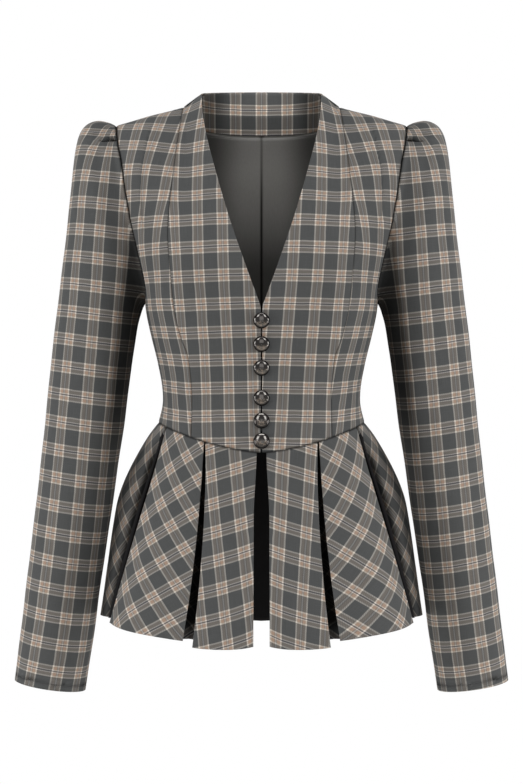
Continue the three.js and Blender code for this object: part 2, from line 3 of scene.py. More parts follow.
import bpy
import numpy as np
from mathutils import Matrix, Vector


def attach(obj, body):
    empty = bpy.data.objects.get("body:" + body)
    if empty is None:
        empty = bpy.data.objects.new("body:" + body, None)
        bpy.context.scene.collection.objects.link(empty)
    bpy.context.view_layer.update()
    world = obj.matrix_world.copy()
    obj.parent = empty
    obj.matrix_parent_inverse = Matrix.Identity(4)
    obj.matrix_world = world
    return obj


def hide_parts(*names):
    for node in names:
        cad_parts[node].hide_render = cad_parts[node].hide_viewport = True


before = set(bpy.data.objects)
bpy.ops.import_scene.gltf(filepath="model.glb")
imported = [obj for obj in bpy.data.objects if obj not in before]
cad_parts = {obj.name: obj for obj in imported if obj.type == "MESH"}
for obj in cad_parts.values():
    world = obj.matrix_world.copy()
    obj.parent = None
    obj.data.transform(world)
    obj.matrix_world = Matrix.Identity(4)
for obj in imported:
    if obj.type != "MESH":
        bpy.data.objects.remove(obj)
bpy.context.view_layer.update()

# Sizes in millimetres, as in the solids

FRONT = -1
BACK = 1
BODICE_WALL = 2.0
SLEEVE_WALL = 1.8
PEPLUM_WALL = 1.6
LINING_WALL = 1.2
SEAM_GAP = 0.36
LAYER_GAP = 0.5
NECK_HALF_WIDTH = 88.8
SHOULDER_SLOPE = 0.282
PRINCESS_AT_SHOULDER = 93.8
COLLAR_TOP_HALF_WIDTH = 72.0
COLLAR_SIDE_RISE = 0.9
COLLAR_SIDE_Z = 15.0
COLLAR_BACK_Y = 79.0
COLLAR_BACK_Z = 27.0
BACK_NECK_Z = -3.0
BACK_NECK_RIDGE = 150.0
SHOULDER_ROUND_START = -140.0
SHOULDER_ROUND_NECK = 1.5
SHOULDER_ROUND_TIP = 2.2
SHOULDER_ROUND_FROM = 80.0
SHOULDER_ROUND_TO = 150.0
UNDERARM_Z = -238.0
WAIST_SIDE_Z = -379.0
WAIST_FRONT_DIP = 33.0
WAIST_BACK_DIP = 13.0
WAIST_DIP_POWER = 1.35
BUST_X, BUST_Z, BUST_OUT, BUST_WIDTH, BUST_HEIGHT = 82.0, -180.0, 9.0, 40.0, 48.0
FLARE_FRONT, FLARE_SIDE, FLARE_BACK = 29.0, 68.0, 54.0
WAIST_GAP = 0.5
RECESS_WAIST, RECESS_HEM = 2.6, 20.0
TUCK_WAIST, TUCK_HEM = 0.2, 8.0
PLEAT_GAP_WAIST, PLEAT_GAP_HEM = 1.2, 11.0
PLEAT_OPENING = 0.75
GAP_OPENING = 0.55
WARP_REPEAT = 28.7
WEFT_REPEAT = 32.5
BODICE_LENGTH = 430.0
PEPLUM_LENGTH = 230.0
MM = 0.001


def table(names, rows):
    return dict(zip(names, np.array(rows, float).T))


# A smooth curve between two values, with the slope at each
def hermite(t, a, b, slope_a, slope_b, span=1):
    return (
        (2 * t**3 - 3 * t**2 + 1) * a + (t**3 - 2 * t**2 + t) * slope_a * span
        + (3 * t**2 - 2 * t**3) * b + (t**3 - t**2) * slope_b * span
    )


# A smooth reading of a table, with centred slopes
def read(rows, key, value):
    x = rows[key]
    value = np.clip(np.asarray(value, float), x[0], x[-1])
    i = np.clip(np.searchsorted(x, value, side="right") - 1, 0, len(x) - 2)
    span = x[i + 1] - x[i]
    low = np.maximum(np.arange(len(x)) - 1, 0)
    high = np.minimum(np.arange(len(x)) + 1, len(x) - 1)
    result = {}
    for name, y in rows.items():
        slope = (y[high] - y[low]) / (x[high] - x[low])
        result[name] = hermite((value - x[i]) / span, y[i], y[i + 1], slope[i], slope[i + 1], span)
    return result


TORSO = table(["z", "half", "side", "front", "back", "round"], [
    [-430, 141, -12, 112, 102, 2.2],
    [-379, 123, -12, 104, 95, 2.2],
    [-352, 117.6, -12, 101, 92, 2.2],
    [-309, 123.6, -10, 107, 94, 2.25],
    [-280, 131, -9, 113, 97, 2.3],
    [-252, 137, -7, 119, 99, 2.35],
    [-221, 142, -5, 123, 102, 2.4],
    [-180, 155, -3, 123, 105, 2.4],
    [-140, 167, -1, 113, 107, 2.5],
    [-100, 175, 0, 101, 107, 2.8],
    [-60, 178, 0, 95, 104, 3.2],
    [0, 180, 0, 90, 100, 3.4],
    [60, 180, 0, 85, 96, 3.4],
])
NECK_EDGE = table(["z", "x"], [
    [-430, 1], [-300, 1], [-250, 1], [-243, 2], [-233, 5.7], [-180, 24.6], [-132, 40.3],
    [-80, 55.1], [-36, 66.2], [2, 71.8], [30, 72.5],
])
FRONT_PRINCESS = table(["z", "x"], [
    [-430, 82.4], [-394, 81.6], [-352, 81.1], [-329, 82.2], [-300, 86], [-282, 93], [-251, 100.8],
    [-223, 104], [-194, 106.4], [-168, 108.3], [-145, 108], [-108, 105], [-2, 93.8], [20, 92],
])
BACK_PRINCESS = table(["z", "x"], [
    [-430, 66], [-392, 63], [-352, 61], [-300, 66], [-240, 76], [-180, 84], [-120, 90], [-2, 93.8], [20, 94],
])
ARMHOLE = table(["z", "front", "back"], [
    [-238, 0, 0], [-234, 9, 9], [-222, 16, 16.5], [-192, 21, 22.5], [-150, 24.3, 26], [-117, 26.4, 28],
    [-74, 26.5, 28], [-50, 22.5, 24], [-24, 18.6, 18.6],
])

# Grain lines on the fronts: the middle of one warp band of each panel
GRAIN_CENTRE = table(["z", "x"], [
    [-430, 61.5], [-370, 62.4], [-338, 62.9], [-306, 64.0], [-275, 65.9], [-242, 68.1], [-208, 70.6],
    [-177, 72.1], [-145, 73.4], [-116, 74.9], [-85, 75.5], [-55, 75.7], [-25, 73.6], [26, 70],
])
GRAIN_SIDE = table(["z", "x"], [
    [-430, 97], [-370, 98.8], [-337, 100.9], [-306, 104.9], [-274, 111.9], [-241, 117.8], [-205, 120.3],
    [-176, 121.8], [-150, 120.2], [-114, 113.7], [-82, 108.4], [-9, 89], [26, 80],
])
WEFT_LEVEL = -338.4

UNDERARM_RISE = (UNDERARM_Z - WAIST_SIDE_Z) / (-24 - WAIST_SIDE_Z)
UPPER_ROWS = [0.03, 0.07, 0.15, 0.26, 0.38, 0.5, 0.62, 0.73, 0.82, 0.905, 0.95, 0.985, 1]
SOLID_ROWS = np.array(
    [UNDERARM_RISE * i / 6 for i in range(7)] + [UNDERARM_RISE + (1 - UNDERARM_RISE) * s for s in UPPER_ROWS]
)


def mix(a, b, t):
    return a + (b - a) * t


def smoothstep(x, low, high):
    t = np.clip((x - low) / (high - low), 0, 1)
    return t * t * (3 - 2 * t)


def signed_power(value, power):
    return np.sign(value) * np.abs(value) ** power


def unit(v):
    return v / np.maximum(np.linalg.norm(v, axis=-1, keepdims=True), 1e-9)


# A smooth hump: its height at distance 0, fading out over its reach
def hump(distance, height, reach):
    return height * np.exp(-((distance / reach) ** 2))


# Arc lengths from the start of each row or column of points
def arc_along(points, axis):
    arc = np.cumsum(np.linalg.norm(np.diff(points, axis=axis), axis=-1), axis=axis)
    return np.concatenate([np.zeros_like(np.take(arc, [0], axis)), arc], axis=axis)

def ridge(x, face):
    reach = np.abs(x)
    line = (NECK_HALF_WIDTH - reach) * SHOULDER_SLOPE
    if face == FRONT:
        return np.where(reach < NECK_HALF_WIDTH, (NECK_HALF_WIDTH - reach) * COLLAR_SIDE_RISE, line)
    low = (NECK_HALF_WIDTH - PRINCESS_AT_SHOULDER) * SHOULDER_SLOPE
    share = np.minimum(1, reach / PRINCESS_AT_SHOULDER)
    return np.where(reach < PRINCESS_AT_SHOULDER, low + BACK_NECK_RIDGE * (1 - share**1.5), line)


# The bodice's outer face, at a turn from the side seam and a height
def torso(angle, z, face):
    angle, z = np.broadcast_arrays(np.asarray(angle, float), np.asarray(z, float))
    level = read(TORSO, "z", z)
    x = level["half"] * signed_power(np.cos(angle), 2 / level["round"])
    out = signed_power(np.sin(angle), 2 / level["round"])
    start = SHOULDER_ROUND_START
    climb = np.clip((z - start) / (ridge(x, face) - start), 0, 1)
    outwards = smoothstep(np.abs(x), SHOULDER_ROUND_FROM, SHOULDER_ROUND_TO)
    roundness = mix(SHOULDER_ROUND_NECK, SHOULDER_ROUND_TIP, outwards)
    fade = (1 - climb**roundness) ** (1 / roundness)
    reach = level["front"] if face == FRONT else level["back"]
    across = (np.abs(x) - BUST_X) / BUST_WIDTH
    up = (z - BUST_Z) / BUST_HEIGHT
    bust = BUST_OUT * np.exp(-across * across - up * up) if face == FRONT else 0
    y = level["side"] + face * (reach * out * fade + bust * out)
    return np.stack([x, y, z], axis=-1)


# The turn at which the bodice's face is so far to the side
def angle_of(x, z):
    level = read(TORSO, "z", z)
    share = np.clip(x / level["half"], -1, 1)
    return np.arccos(signed_power(share, level["round"] / 2))


def seam_angle(name, z):
    if name == "neckEdge":
        return angle_of(read(NECK_EDGE, "z", z)["x"], z)
    if name == "frontPrincess":
        return angle_of(read(FRONT_PRINCESS, "z", z)["x"], z)
    if name == "backPrincess":
        return angle_of(read(BACK_PRINCESS, "z", z)["x"], z)
    if name == "backCentre":
        return np.full_like(np.asarray(z, float), math.pi / 2)
    column = "front" if name == "frontSide" else "back"
    return np.where(z < UNDERARM_Z, 0, np.radians(read(ARMHOLE, "z", z)[column]))


def waist_z(angle, face):
    dip = WAIST_FRONT_DIP if face == FRONT else WAIST_BACK_DIP
    return WAIST_SIDE_Z - dip * (1 - np.abs(np.cos(angle)) ** WAIST_DIP_POWER)


def back_neck_z(x):
    share = np.minimum(1, np.abs(x) / PRINCESS_AT_SHOULDER)
    return mix(BACK_NECK_Z, ridge(np.array(PRINCESS_AT_SHOULDER), BACK), share**2)


# A panel between two seams, read at a share of the way across and up
class Panel:
    def __init__(self, inner, outer, face):
        self.inner, self.outer, self.face = inner, outer, face

    def angle(self, p, z):
        return mix(seam_angle(self.inner, z), seam_angle(self.outer, z), p)

    def where(self, p, q):
        p, q = np.broadcast_arrays(np.asarray(p, float), np.asarray(q, float))
        low = np.full_like(p, WAIST_SIDE_Z)
        high = np.zeros_like(p)
        for _ in range(8):
            low = waist_z(self.angle(p, low), self.face)
            x = torso(self.angle(p, high), high, self.face)[..., 0]
            high = ridge(x, self.face)
            if self.face == BACK:
                high = np.where(x < PRINCESS_AT_SHOULDER, back_neck_z(x), high)
        z = mix(low, high, q)
        return self.angle(p, z), z

    def __call__(self, p, q):
        angle, z = self.where(p, q)
        return torso(angle, z, self.face)


FRONT_CENTRE = Panel("neckEdge", "frontPrincess", FRONT)
FRONT_SIDE = Panel("frontPrincess", "frontSide", FRONT)
BACK_CENTRE = Panel("backCentre", "backPrincess", BACK)
BACK_SIDE = Panel("backPrincess", "backSide", BACK)


# The outward direction of a surface, away from a point inside it
def normal_of(surface, p, q, inside):
    step = 0.002
    along_p = surface(p + step, q) - surface(p - step, q)
    along_q = surface(p, np.minimum(1, q + step)) - surface(p, np.maximum(0, q - step))
    normal = unit(np.cross(along_p, along_q))
    outward = surface(p, q) - inside
    flip = np.sum(normal * outward, axis=-1, keepdims=True) < 0
    return np.where(flip, -normal, normal)


# A point well inside the bodice, near the height of another
def inside_torso(point):
    x, z = point[..., 0], point[..., 2]
    return np.stack([x * 0.4, np.zeros_like(x), np.minimum(z, -40)], axis=-1)


# Shares of a length, close together at both ends where a seam dips or an edge turns
def shares(length, step, edge=(0, 0.7, 1.5, 2.5, 4.0)):
    near = np.array(edge) / length
    count = max(2, round((length - 2 * edge[-1]) / step))
    middle = np.linspace(near[-1], 1 - near[-1], count + 1)[1:-1]
    return np.concatenate([near, middle, 1 - near[::-1]])


# Distance of points from a line of straight parts, in x and z, and the share of the way along it
def near_line(x, z, line):
    line = np.array(line, float)
    best, place = np.full(np.shape(x), 1e9), np.zeros(np.shape(x))
    lengths = np.linalg.norm(np.diff(line, axis=0), axis=1)
    done = 0
    for (ax, az), (bx, bz), length in zip(line[:-1], line[1:], lengths):
        t = np.clip(((x - ax) * (bx - ax) + (z - az) * (bz - az)) / length**2, 0, 1)
        distance = np.hypot(x - ax - (bx - ax) * t, z - az - (bz - az) * t)
        place = np.where(distance < best, (done + t * length) / lengths.sum(), place)
        best = np.minimum(best, distance)
        done += length
    return best, place


# How far folds move the cloth out. Each has its height, half its width and its line.
def folds_at(x, z, folds):
    moved = np.zeros(np.shape(x))
    for out, width, line in folds:
        distance, place = near_line(x, z, line)
        fade = smoothstep(np.minimum(place, 1 - place), -0.02, 0.25)
        moved = moved + hump(distance, out * fade, width)
    return moved


# Humps along a seam: the depth of its groove in millimetres, and the painted shade that darkens each kind of
# seam's groove
SEAM_DIP = (0.58, 1.7)
SEAM_SHADE = (0.5, 0.8)
WAIST_SHADE = (0.7, 1.1)
ARMHOLE_SHADE = (0.9, 1.9)

# The steps of the grid that the grain is looked up in
TURN_STEPS = 240
HEIGHT_START, HEIGHT_STEP, HEIGHT_STEPS = -430, 2, 235
JUST_INSIDE = 0.001


# The arc lengths over one face of the bodice: across from the centre line, and up from the weft level
class Grain:
    def __init__(self, face):
        angles = np.linspace(0, math.pi / 2, TURN_STEPS + 1)
        heights = HEIGHT_START + HEIGHT_STEP * np.arange(HEIGHT_STEPS + 1.0)
        grid = torso(angles[:, None], heights[None, :], face)
        across, up = arc_along(grid, 0), arc_along(grid, 1)
        level = np.array([np.interp(WEFT_LEVEL, heights, row) for row in up])
        self.across = across[-1:] - across
        self.up = up - level[:, None]

    def look(self, values, angle, z):
        i = np.clip((angle / (math.pi / 2)) * TURN_STEPS, 0, TURN_STEPS - JUST_INSIDE)
        j = np.clip((z - HEIGHT_START) / HEIGHT_STEP, 0, HEIGHT_STEPS - JUST_INSIDE)
        a, b = i.astype(int), j.astype(int)
        s, t = i - a, j - b
        low = values[a, b] * (1 - s) + values[a + 1, b] * s
        high = values[a, b + 1] * (1 - s) + values[a + 1, b + 1] * s
        return low * (1 - t) + high * t

    def uv(self, angle, z, line):
        reference = angle_of(read(line, "z", z)["x"], z) if line is not None else math.pi / 2
        reference = np.broadcast_to(reference, np.shape(z))
        u = self.look(self.across, angle, z) - self.look(self.across, reference, z)
        v = self.look(self.up, angle, z)
        return np.stack([u / WARP_REPEAT, v / WEFT_REPEAT], axis=-1)


GRAINS = {FRONT: Grain(FRONT), BACK: Grain(BACK)}


# Meshes

def add_object(name, data):
    obj = bpy.data.objects.new(name, data)
    bpy.context.scene.collection.objects.link(obj)
    return obj


# A number at each point, for the materials
def paint(mesh, name, values):
    layer = mesh.attributes.new(name, "FLOAT", "POINT")
    layer.data.foreach_set("value", np.asarray(values, np.float32).ravel())


def cloth_object(name, points, faces, slots, uv, dark, materials, side):
    points = np.asarray(points, float) * MM
    if side < 0:
        points = points * [-1, 1, 1]
        faces = [face[::-1] for face in faces]
        uv = [corner[::-1] for corner in uv]
    mesh = bpy.data.meshes.new(name)
    mesh.from_pydata(points.tolist(), [], [f.tolist() for f in faces])
    for material in materials:
        mesh.materials.append(material)
    mesh.polygons.foreach_set("material_index", np.asarray(slots, np.int32))
    layer = mesh.uv_layers.new(name="plaid")
    layer.data.foreach_set("uv", np.asarray(uv, np.float32).ravel())
    paint(mesh, "dark", dark)
    mesh.shade_smooth()
    mesh.update()
    return add_object(name, mesh)


# The corners of each square of a grid, whose columns may join round
def squares(rows, columns, width):
    r, c = (grid.ravel() for grid in np.meshgrid(np.arange(rows - 1), np.arange(width), indexing="ij"))
    n = (c + 1) % columns
    corners = [r * columns + c, r * columns + n, (r + 1) * columns + n, (r + 1) * columns + c]
    return r, c, np.stack(corners, axis=1)


def volume(points, faces):
    a, b, c, d = (points[faces[:, k]] for k in range(4))
    first = np.einsum("ij,ij->i", a, np.cross(b, c))
    second = np.einsum("ij,ij->i", a, np.cross(c, d))
    return first.sum() + second.sum()


# A rim points away from the third row in, past the dip of the seam. It is worn a little lighter, and
# stands out by a share of the wall.
RIM_FROM = 3
RIM_WEAR = 0.12
RIM_OUT = 0.3


# A closed wall from its two faces, with a rounded rim. A tube's columns join round.
def shell(outer, inner, uv, dark, tube=False):
    rows, columns = outer.shape[:2]
    count = rows * columns
    r, c, quads = squares(rows, columns, columns if tube else columns - 1)
    corner = np.stack([uv[r, c], uv[r, c + 1], uv[r + 1, c + 1], uv[r + 1, c]], axis=1)
    faces = [quads, count + quads[:, ::-1]]
    corners = [corner, corner[:, ::-1]]
    slots = [np.zeros(len(quads)), np.ones(len(quads))]
    wall = np.linalg.norm(outer[0, 0] - inner[0, 0])
    loops = []
    if tube:
        for row, beside in ((0, RIM_FROM), (rows - 1, rows - 1 - RIM_FROM)):
            ids = row * columns + np.arange(columns)
            away = unit(outer[row] - outer[beside])
            loops.append((ids, away, uv[row, :-1], uv[row, 1:], row == 0))
    else:
        top = [(0, k) for k in range(columns - 1)] + [(k, columns - 1) for k in range(rows - 1)]
        bottom = [(rows - 1, k) for k in range(columns - 1, 0, -1)] + [(k, 0) for k in range(rows - 1, 0, -1)]
        path = np.array(top + bottom)
        ids = path[:, 0] * columns + path[:, 1]
        beside_row = np.clip(path[:, 0], RIM_FROM, rows - 1 - RIM_FROM)
        beside_column = np.clip(path[:, 1], RIM_FROM, columns - 1 - RIM_FROM)
        away = unit(outer[path[:, 0], path[:, 1]] - outer[beside_row, beside_column])
        here = uv[path[:, 0], path[:, 1]]
        loops.append((ids, away, here, np.roll(here, -1, axis=0), True))
    flat = np.concatenate([outer.reshape(-1, 3), inner.reshape(-1, 3)])
    start = len(flat)
    extra = []
    dark = np.concatenate([dark.ravel(), dark.ravel()])
    rim_dark = []
    for ids, away, uv_here, uv_next, forward in loops:
        extra.append((flat[ids] + flat[count + ids]) / 2 + away * wall * RIM_OUT)
        rim_dark.append(dark[ids] - RIM_WEAR)
        k = np.arange(len(ids))
        following = (k + 1) % len(ids)
        a, b = ids[k], ids[following]
        m, o = start + k, start + following
        first = np.stack([b, a, m, o], axis=1)
        second = np.stack([o, m, count + a, count + b], axis=1)
        corner = np.stack([uv_next, uv_here, uv_here, uv_next], axis=1)
        if not forward:
            first, second, corner = first[:, ::-1], second[:, ::-1], corner[:, ::-1]
        faces += [first, second]
        corners += [corner, corner]
        slots += [np.zeros(len(ids)), np.zeros(len(ids))]
        start += len(ids)
    flat, dark = np.concatenate([flat] + extra), np.concatenate([dark] + rim_dark)
    faces, corners = np.concatenate(faces), np.concatenate(corners)
    if volume(flat, faces) < 0:
        faces, corners = faces[:, ::-1], corners[:, ::-1]
    return flat, faces, np.concatenate(slots), corners, dark


# The longest lines across and down the outer face, and its area, in metres
def flat_size(outer, tube):
    ring = np.concatenate([outer, outer[:, :1]], axis=1) if tube else outer
    across = np.linalg.norm(np.diff(ring, axis=1), axis=-1)
    along = np.linalg.norm(np.diff(ring, axis=0), axis=-1)
    width = across.sum(axis=1).max() * MM
    length = along.sum(axis=0).max() * MM
    a, b, c, d = ring[:-1, :-1], ring[:-1, 1:], ring[1:, 1:], ring[1:, :-1]
    halves = [np.linalg.norm(np.cross(*sides), axis=-1) for sides in ((b - a, c - a), (c - a, d - a))]
    area = 0.5 * (halves[0] + halves[1])
    return width, length, area.sum() * MM * MM


def piece(name, outer, inner, uv, materials, nodes, tube=False, side=1, dark=None):
    dark = np.zeros(outer.shape[:2]) if dark is None else dark
    points, faces, slots, corners, dark = shell(outer, inner, uv, dark, tube)
    obj = cloth_object(name, points, faces, slots, corners, dark, materials, side)
    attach(obj, "root")
    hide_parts(*nodes)
    width, length, area = flat_size(outer, tube)
    area = min(area, width * length)


# How the grain of a piece drifts off its straight course, in repeats: first across it, then along it.
# Each has a shift, and its growth with u, v, uv, vv, uu and vvv.
DRIFT = {
    "front_centre_left": ((0.3, -0.055, -0.03, 0.006, 0.002), (0.011, 0.015, -0.008, -0.006)),
    "front_centre_right": ((-0.05, 0.02, -0.004, -0.003, 0.002), (0.01, 0.022, 0.002, -0.004, -0.002)),
    "front_side_left": ((0.27, 0.16, -0.085, -0.013, 0.007), (-0.03, -0.055, -0.008, 0.012)),
    "front_side_right": ((-0.09, 0.08, 0.006, -0.01, 0.001), (-0.02, -0.06, -0.01, 0.013)),
    "sleeve_left": ((-0.075, 0.005, 0.014, 0.0076, -0.0043, 0.019, -0.0003),
                    (0.005, -0.057, -0.002, -0.0032, 0.0011, -0.013, 0.0003)),
    "sleeve_right": ((0.025, -0.005, 0.018, 0.0078, -0.0044, 0.029, -0.0004),
                     (-0.07, -0.061, 0.012, -0.0025, 0.0016, -0.009, 0.0002)),
    "peplum_front_left": ((0.43, -0.18, 0.011, -0.032, -0.004), (-0.136, 0.1, 0.028, 0.024, 0.002)),
    "peplum_front_right": ((0.28, -0.117, -0.014, -0.026), (-0.154, 0.112, 0.053, 0.027, 0.007)),
    "peplum_side_front_left": ((-0.12, -0.17, 0.145, 0, 0.045), (0.013, -0.049, 0.212, -0.002, 0.033)),
    "peplum_side_front_right": ((-0.18, -0.03, 0.027, 0.008, 0.022), (-0.062, 0.008, 0.207, 0.014, 0.034)),
    "peplum_side_left": ((-0.065, -0.054, 0.074), (0.107, -0.015, 0.206)),
    "peplum_side_right": ((-0.065, -0.054, 0.074), (0.107, -0.015, 0.206)),
}
DRIFT_REACH = 5.5


def drifted(uv, name):
    across, along = DRIFT.get(name, ((), ()))
    u, v = np.clip(uv[..., 0], -DRIFT_REACH, DRIFT_REACH), uv[..., 1]
    terms = [np.ones_like(u), u, v, u * v, v * v, u * u, v**3]
    move_u = sum(amount * term for amount, term in zip(across, terms))
    move_v = sum(amount * term for amount, term in zip(along, terms))
    return np.stack([uv[..., 0] + move_u, uv[..., 1] + move_v], axis=-1)


def pair(name, outer, inner, uv, materials, tube=False, dark=None):
    for word, side in (("left", 1), ("right", -1)):
        full = f"{name}_{word}"
        piece(f"cloth_{full}", outer, inner, drifted(uv, full), materials, [full], tube, side, dark)


# Materials

# Each input takes a value, or another node's output
def feed(made, inputs):
    for key, value in inputs.items():
        value = getattr(value, "socket", value)
        if hasattr(value, "is_output"):
            made.id_data.links.new(value, made.inputs[key])
        else:
            made.inputs[key].default_value = value


def node(tree, kind, inputs=None, **settings):
    made = tree.nodes.new(kind)
    for key, value in settings.items():
        setattr(made, key, value)
    feed(made, inputs or {})
    return made


def maths(operation, *values, clamp=False):
    tree = next(value.socket.id_data for value in values if isinstance(value, Number))
    made = node(tree, "ShaderNodeMath", dict(enumerate(values)), operation=operation, use_clamp=clamp)
    return Number(made.outputs[0])


# A number that a material's nodes work out, for sums and products
class Number:
    def __init__(self, socket):
        self.socket = socket

    def __add__(self, other):
        return maths("ADD", self, other)

    def __sub__(self, other):
        return maths("SUBTRACT", self, other)

    def __rsub__(self, other):
        return maths("SUBTRACT", other, self)

    def __mul__(self, other):
        return maths("MULTIPLY", self, other)


def blend(tree, factor, a, b, mode="MIX"):
    return node(tree, "ShaderNodeMix", {0: factor, 6: a, 7: b}, data_type="RGBA", blend_type=mode).outputs[2]


# A colour times a number
def shaded(tree, colour, amount):
    grey = node(tree, "ShaderNodeCombineXYZ", {0: amount, 1: amount, 2: amount}).outputs[0]
    return blend(tree, 1.0, colour, grey, "MULTIPLY")


def noise(tree, place, scale, detail, roughness=0.5):
    inputs = {"Vector": place, "Scale": scale, "Detail": detail, "Roughness": roughness}
    return Number(node(tree, "ShaderNodeTexNoise", inputs).outputs[0])


# A value round one, from a noise that is drawn out along the threads
def uneven(tree, place, stretch, amount):
    along = node(tree, "ShaderNodeVectorMath", {0: place, 1: stretch}, operation="MULTIPLY").outputs[0]
    return (noise(tree, along, 1.0, 2.0) - 0.5) * amount + 1.0


def painted(tree, name):
    return Number(node(tree, "ShaderNodeAttribute", attribute_name=name).outputs["Fac"])


def bump(tree, strength, distance, height):
    inputs = {"Strength": strength, "Distance": distance, "Height": height}
    return node(tree, "ShaderNodeBump", inputs).outputs[0]


def linear(r, g, b):
    values = [c / 255 for c in (r, g, b)]
    return tuple(v / 12.92 if v <= 0.04045 else ((v + 0.055) / 1.055) ** 2.4 for v in values) + (1.0,)


def new_material(name):
    material = bpy.data.materials.new(name)
    material.use_nodes = True
    tree = material.node_tree
    return material, tree, tree.nodes["Principled BSDF"]


# The look of each thread where it crosses the dark ground
GROUND = (74, 75, 75)
THREADS = {
    "dark": GROUND,
    "white warp": (135, 132, 127),
    "brown warp": (102, 97, 92),
    "pale warp": (113, 112, 110),
    "line warp": (84, 82, 80),
    "white weft": (132, 129, 124),
    "brown weft": (103, 98, 93),
    "thin weft": (137, 134, 130),
    "line weft": (70, 69, 71),
}
BROWN_CROSSING = linear(158, 132, 113)

# The stripes of one repeat: where each starts, as a share of the repeat, and its thread
WARP_STRIPES = [
    (0.0, "dark"), (0.272, "white warp"), (0.332, "brown warp"), (0.452, "line warp"), (0.472, "pale warp"),
    (0.528, "line warp"), (0.548, "brown warp"), (0.668, "white warp"), (0.728, "dark"),
]
WEFT_STRIPES = [
    (0.0, "dark"), (0.276, "white weft"), (0.33, "brown weft"), (0.44, "thin weft"), (0.478, "line weft"),
    (0.522, "thin weft"), (0.56, "brown weft"), (0.67, "white weft"), (0.724, "dark"),
]
STRIPE_EDGE = 0.005
MIX_POWER = 0.25
# Threads in millimetres apart, how far they sway in repeats, and how much of the twill shows
THREAD_PITCH, SWAY, TWILL_CONTRAST = 0.62, 0.03, 0.2
FUZZ_CONTRAST = 0.4


# Half of a crossing is each thread, so a thread is twice its look over the ground less the ground
def thread_root(name):
    look, ground = (np.array(linear(*colour)[:3]) ** MIX_POWER for colour in (THREADS[name], GROUND))
    return tuple(2 * look - ground)


# The colour of the stripes as roots, and 1 on the brown ones
def stripe_ramp(tree, share, stripes):
    made = node(tree, "ShaderNodeValToRGB", {0: share})
    ramp = made.color_ramp
    ramp.interpolation = "LINEAR"
    stops = [(0.0, stripes[0][1])]
    for (_, last), (start, name) in zip(stripes, stripes[1:]):
        stops += [(start - STRIPE_EDGE, last), (start + STRIPE_EDGE, name)]
    stops.append((1.0, stripes[-1][1]))
    while len(ramp.elements) < len(stops):
        ramp.elements.new(0.5)
    for element, (position, name) in zip(ramp.elements, stops):
        element.position = position
        element.color = thread_root(name) + (1.0 if name.startswith("brown") else 0.0,)
    return made.outputs[0], Number(made.outputs[1])


def plaid_material(name):
    material, tree, shader = new_material(name)
    uv = node(tree, "ShaderNodeUVMap", uv_map="plaid").outputs[0]
    parts = node(tree, "ShaderNodeSeparateXYZ", {0: uv})
    u, v = Number(parts.outputs[0]), Number(parts.outputs[1])
    # The threads sway a little
    sway = (noise(tree, uv, 2.3, 2.0) - 0.5) * SWAY
    warp, warp_brown = stripe_ramp(tree, maths("FRACT", u + sway + 100.5), WARP_STRIPES)
    weft, weft_brown = stripe_ramp(tree, maths("FRACT", v - sway + 100.5), WEFT_STRIPES)
    # Twill: two over, two under
    ends, picks = u * (WARP_REPEAT / THREAD_PITCH), v * (WEFT_REPEAT / THREAD_PITCH)
    twill = maths("FRACT", (ends + picks) * 0.25)
    over = maths("ADD", (maths("PINGPONG", twill, 0.5) * 2.0 - 0.5) * TWILL_CONTRAST, 0.5, clamp=True)
    warp = shaded(tree, warp, uneven(tree, uv, (64.0, 1.5, 1.0), 0.2))
    weft = shaded(tree, weft, uneven(tree, uv, (1.5, 70.0, 1.0), 0.18))
    woven = blend(tree, over, warp, weft)
    colour = node(tree, "ShaderNodeGamma", {0: woven, 1: 1 / MIX_POWER}).outputs[0]
    colour = blend(tree, warp_brown * weft_brown * 0.75, colour, BROWN_CROSSING)
    fuzz = noise(tree, uv, 40.0, 3.0)
    # The dark attribute is painted light and shade. Above zero it darkens the colour and dims the shine in
    # seams, pleats, creases and shadowed parts. Below zero it lightens, as in the facing's painted light and
    # the worn rims.
    dark = painted(tree, "dark")
    open_to_light = maths("SUBTRACT", 1.0, dark, clamp=True)
    thread_u, thread_v = maths("PINGPONG", ends, 0.5), maths("PINGPONG", picks, 0.5)
    height = thread_u * (1.0 - over) + thread_v * over + fuzz * 0.8
    feed(shader, {
        "Base Color": shaded(tree, colour, ((fuzz - 0.5) * FUZZ_CONTRAST + 1.0) * (1.0 - dark)),
        "Roughness": 0.88,
        "Specular IOR Level": open_to_light * 0.2,
        "Sheen Weight": open_to_light * 0.06,
        "Sheen Roughness": 0.5,
        "Normal": bump(tree, 0.35, 0.00025, height),
    })
    return material


def lining_material(name, colour, roughness, shine):
    material, tree, shader = new_material(name)
    place = node(tree, "ShaderNodeTexCoord").outputs["Object"]
    threads = uneven(tree, place, (900.0, 900.0, 110.0), 0.2)
    cloud = uneven(tree, place, (9.0, 9.0, 9.0), 0.2)
    # The dark attribute's painted light and shade darken the lining and dim its shine
    open_to_light = maths("SUBTRACT", 1.0, painted(tree, "dark"), clamp=True)
    feed(shader, {
        "Base Color": shaded(tree, colour, threads * cloud * open_to_light),
        "Roughness": roughness,
        "Specular IOR Level": open_to_light * shine,
        "Normal": bump(tree, 0.15, 0.0002, threads),
    })
    return material


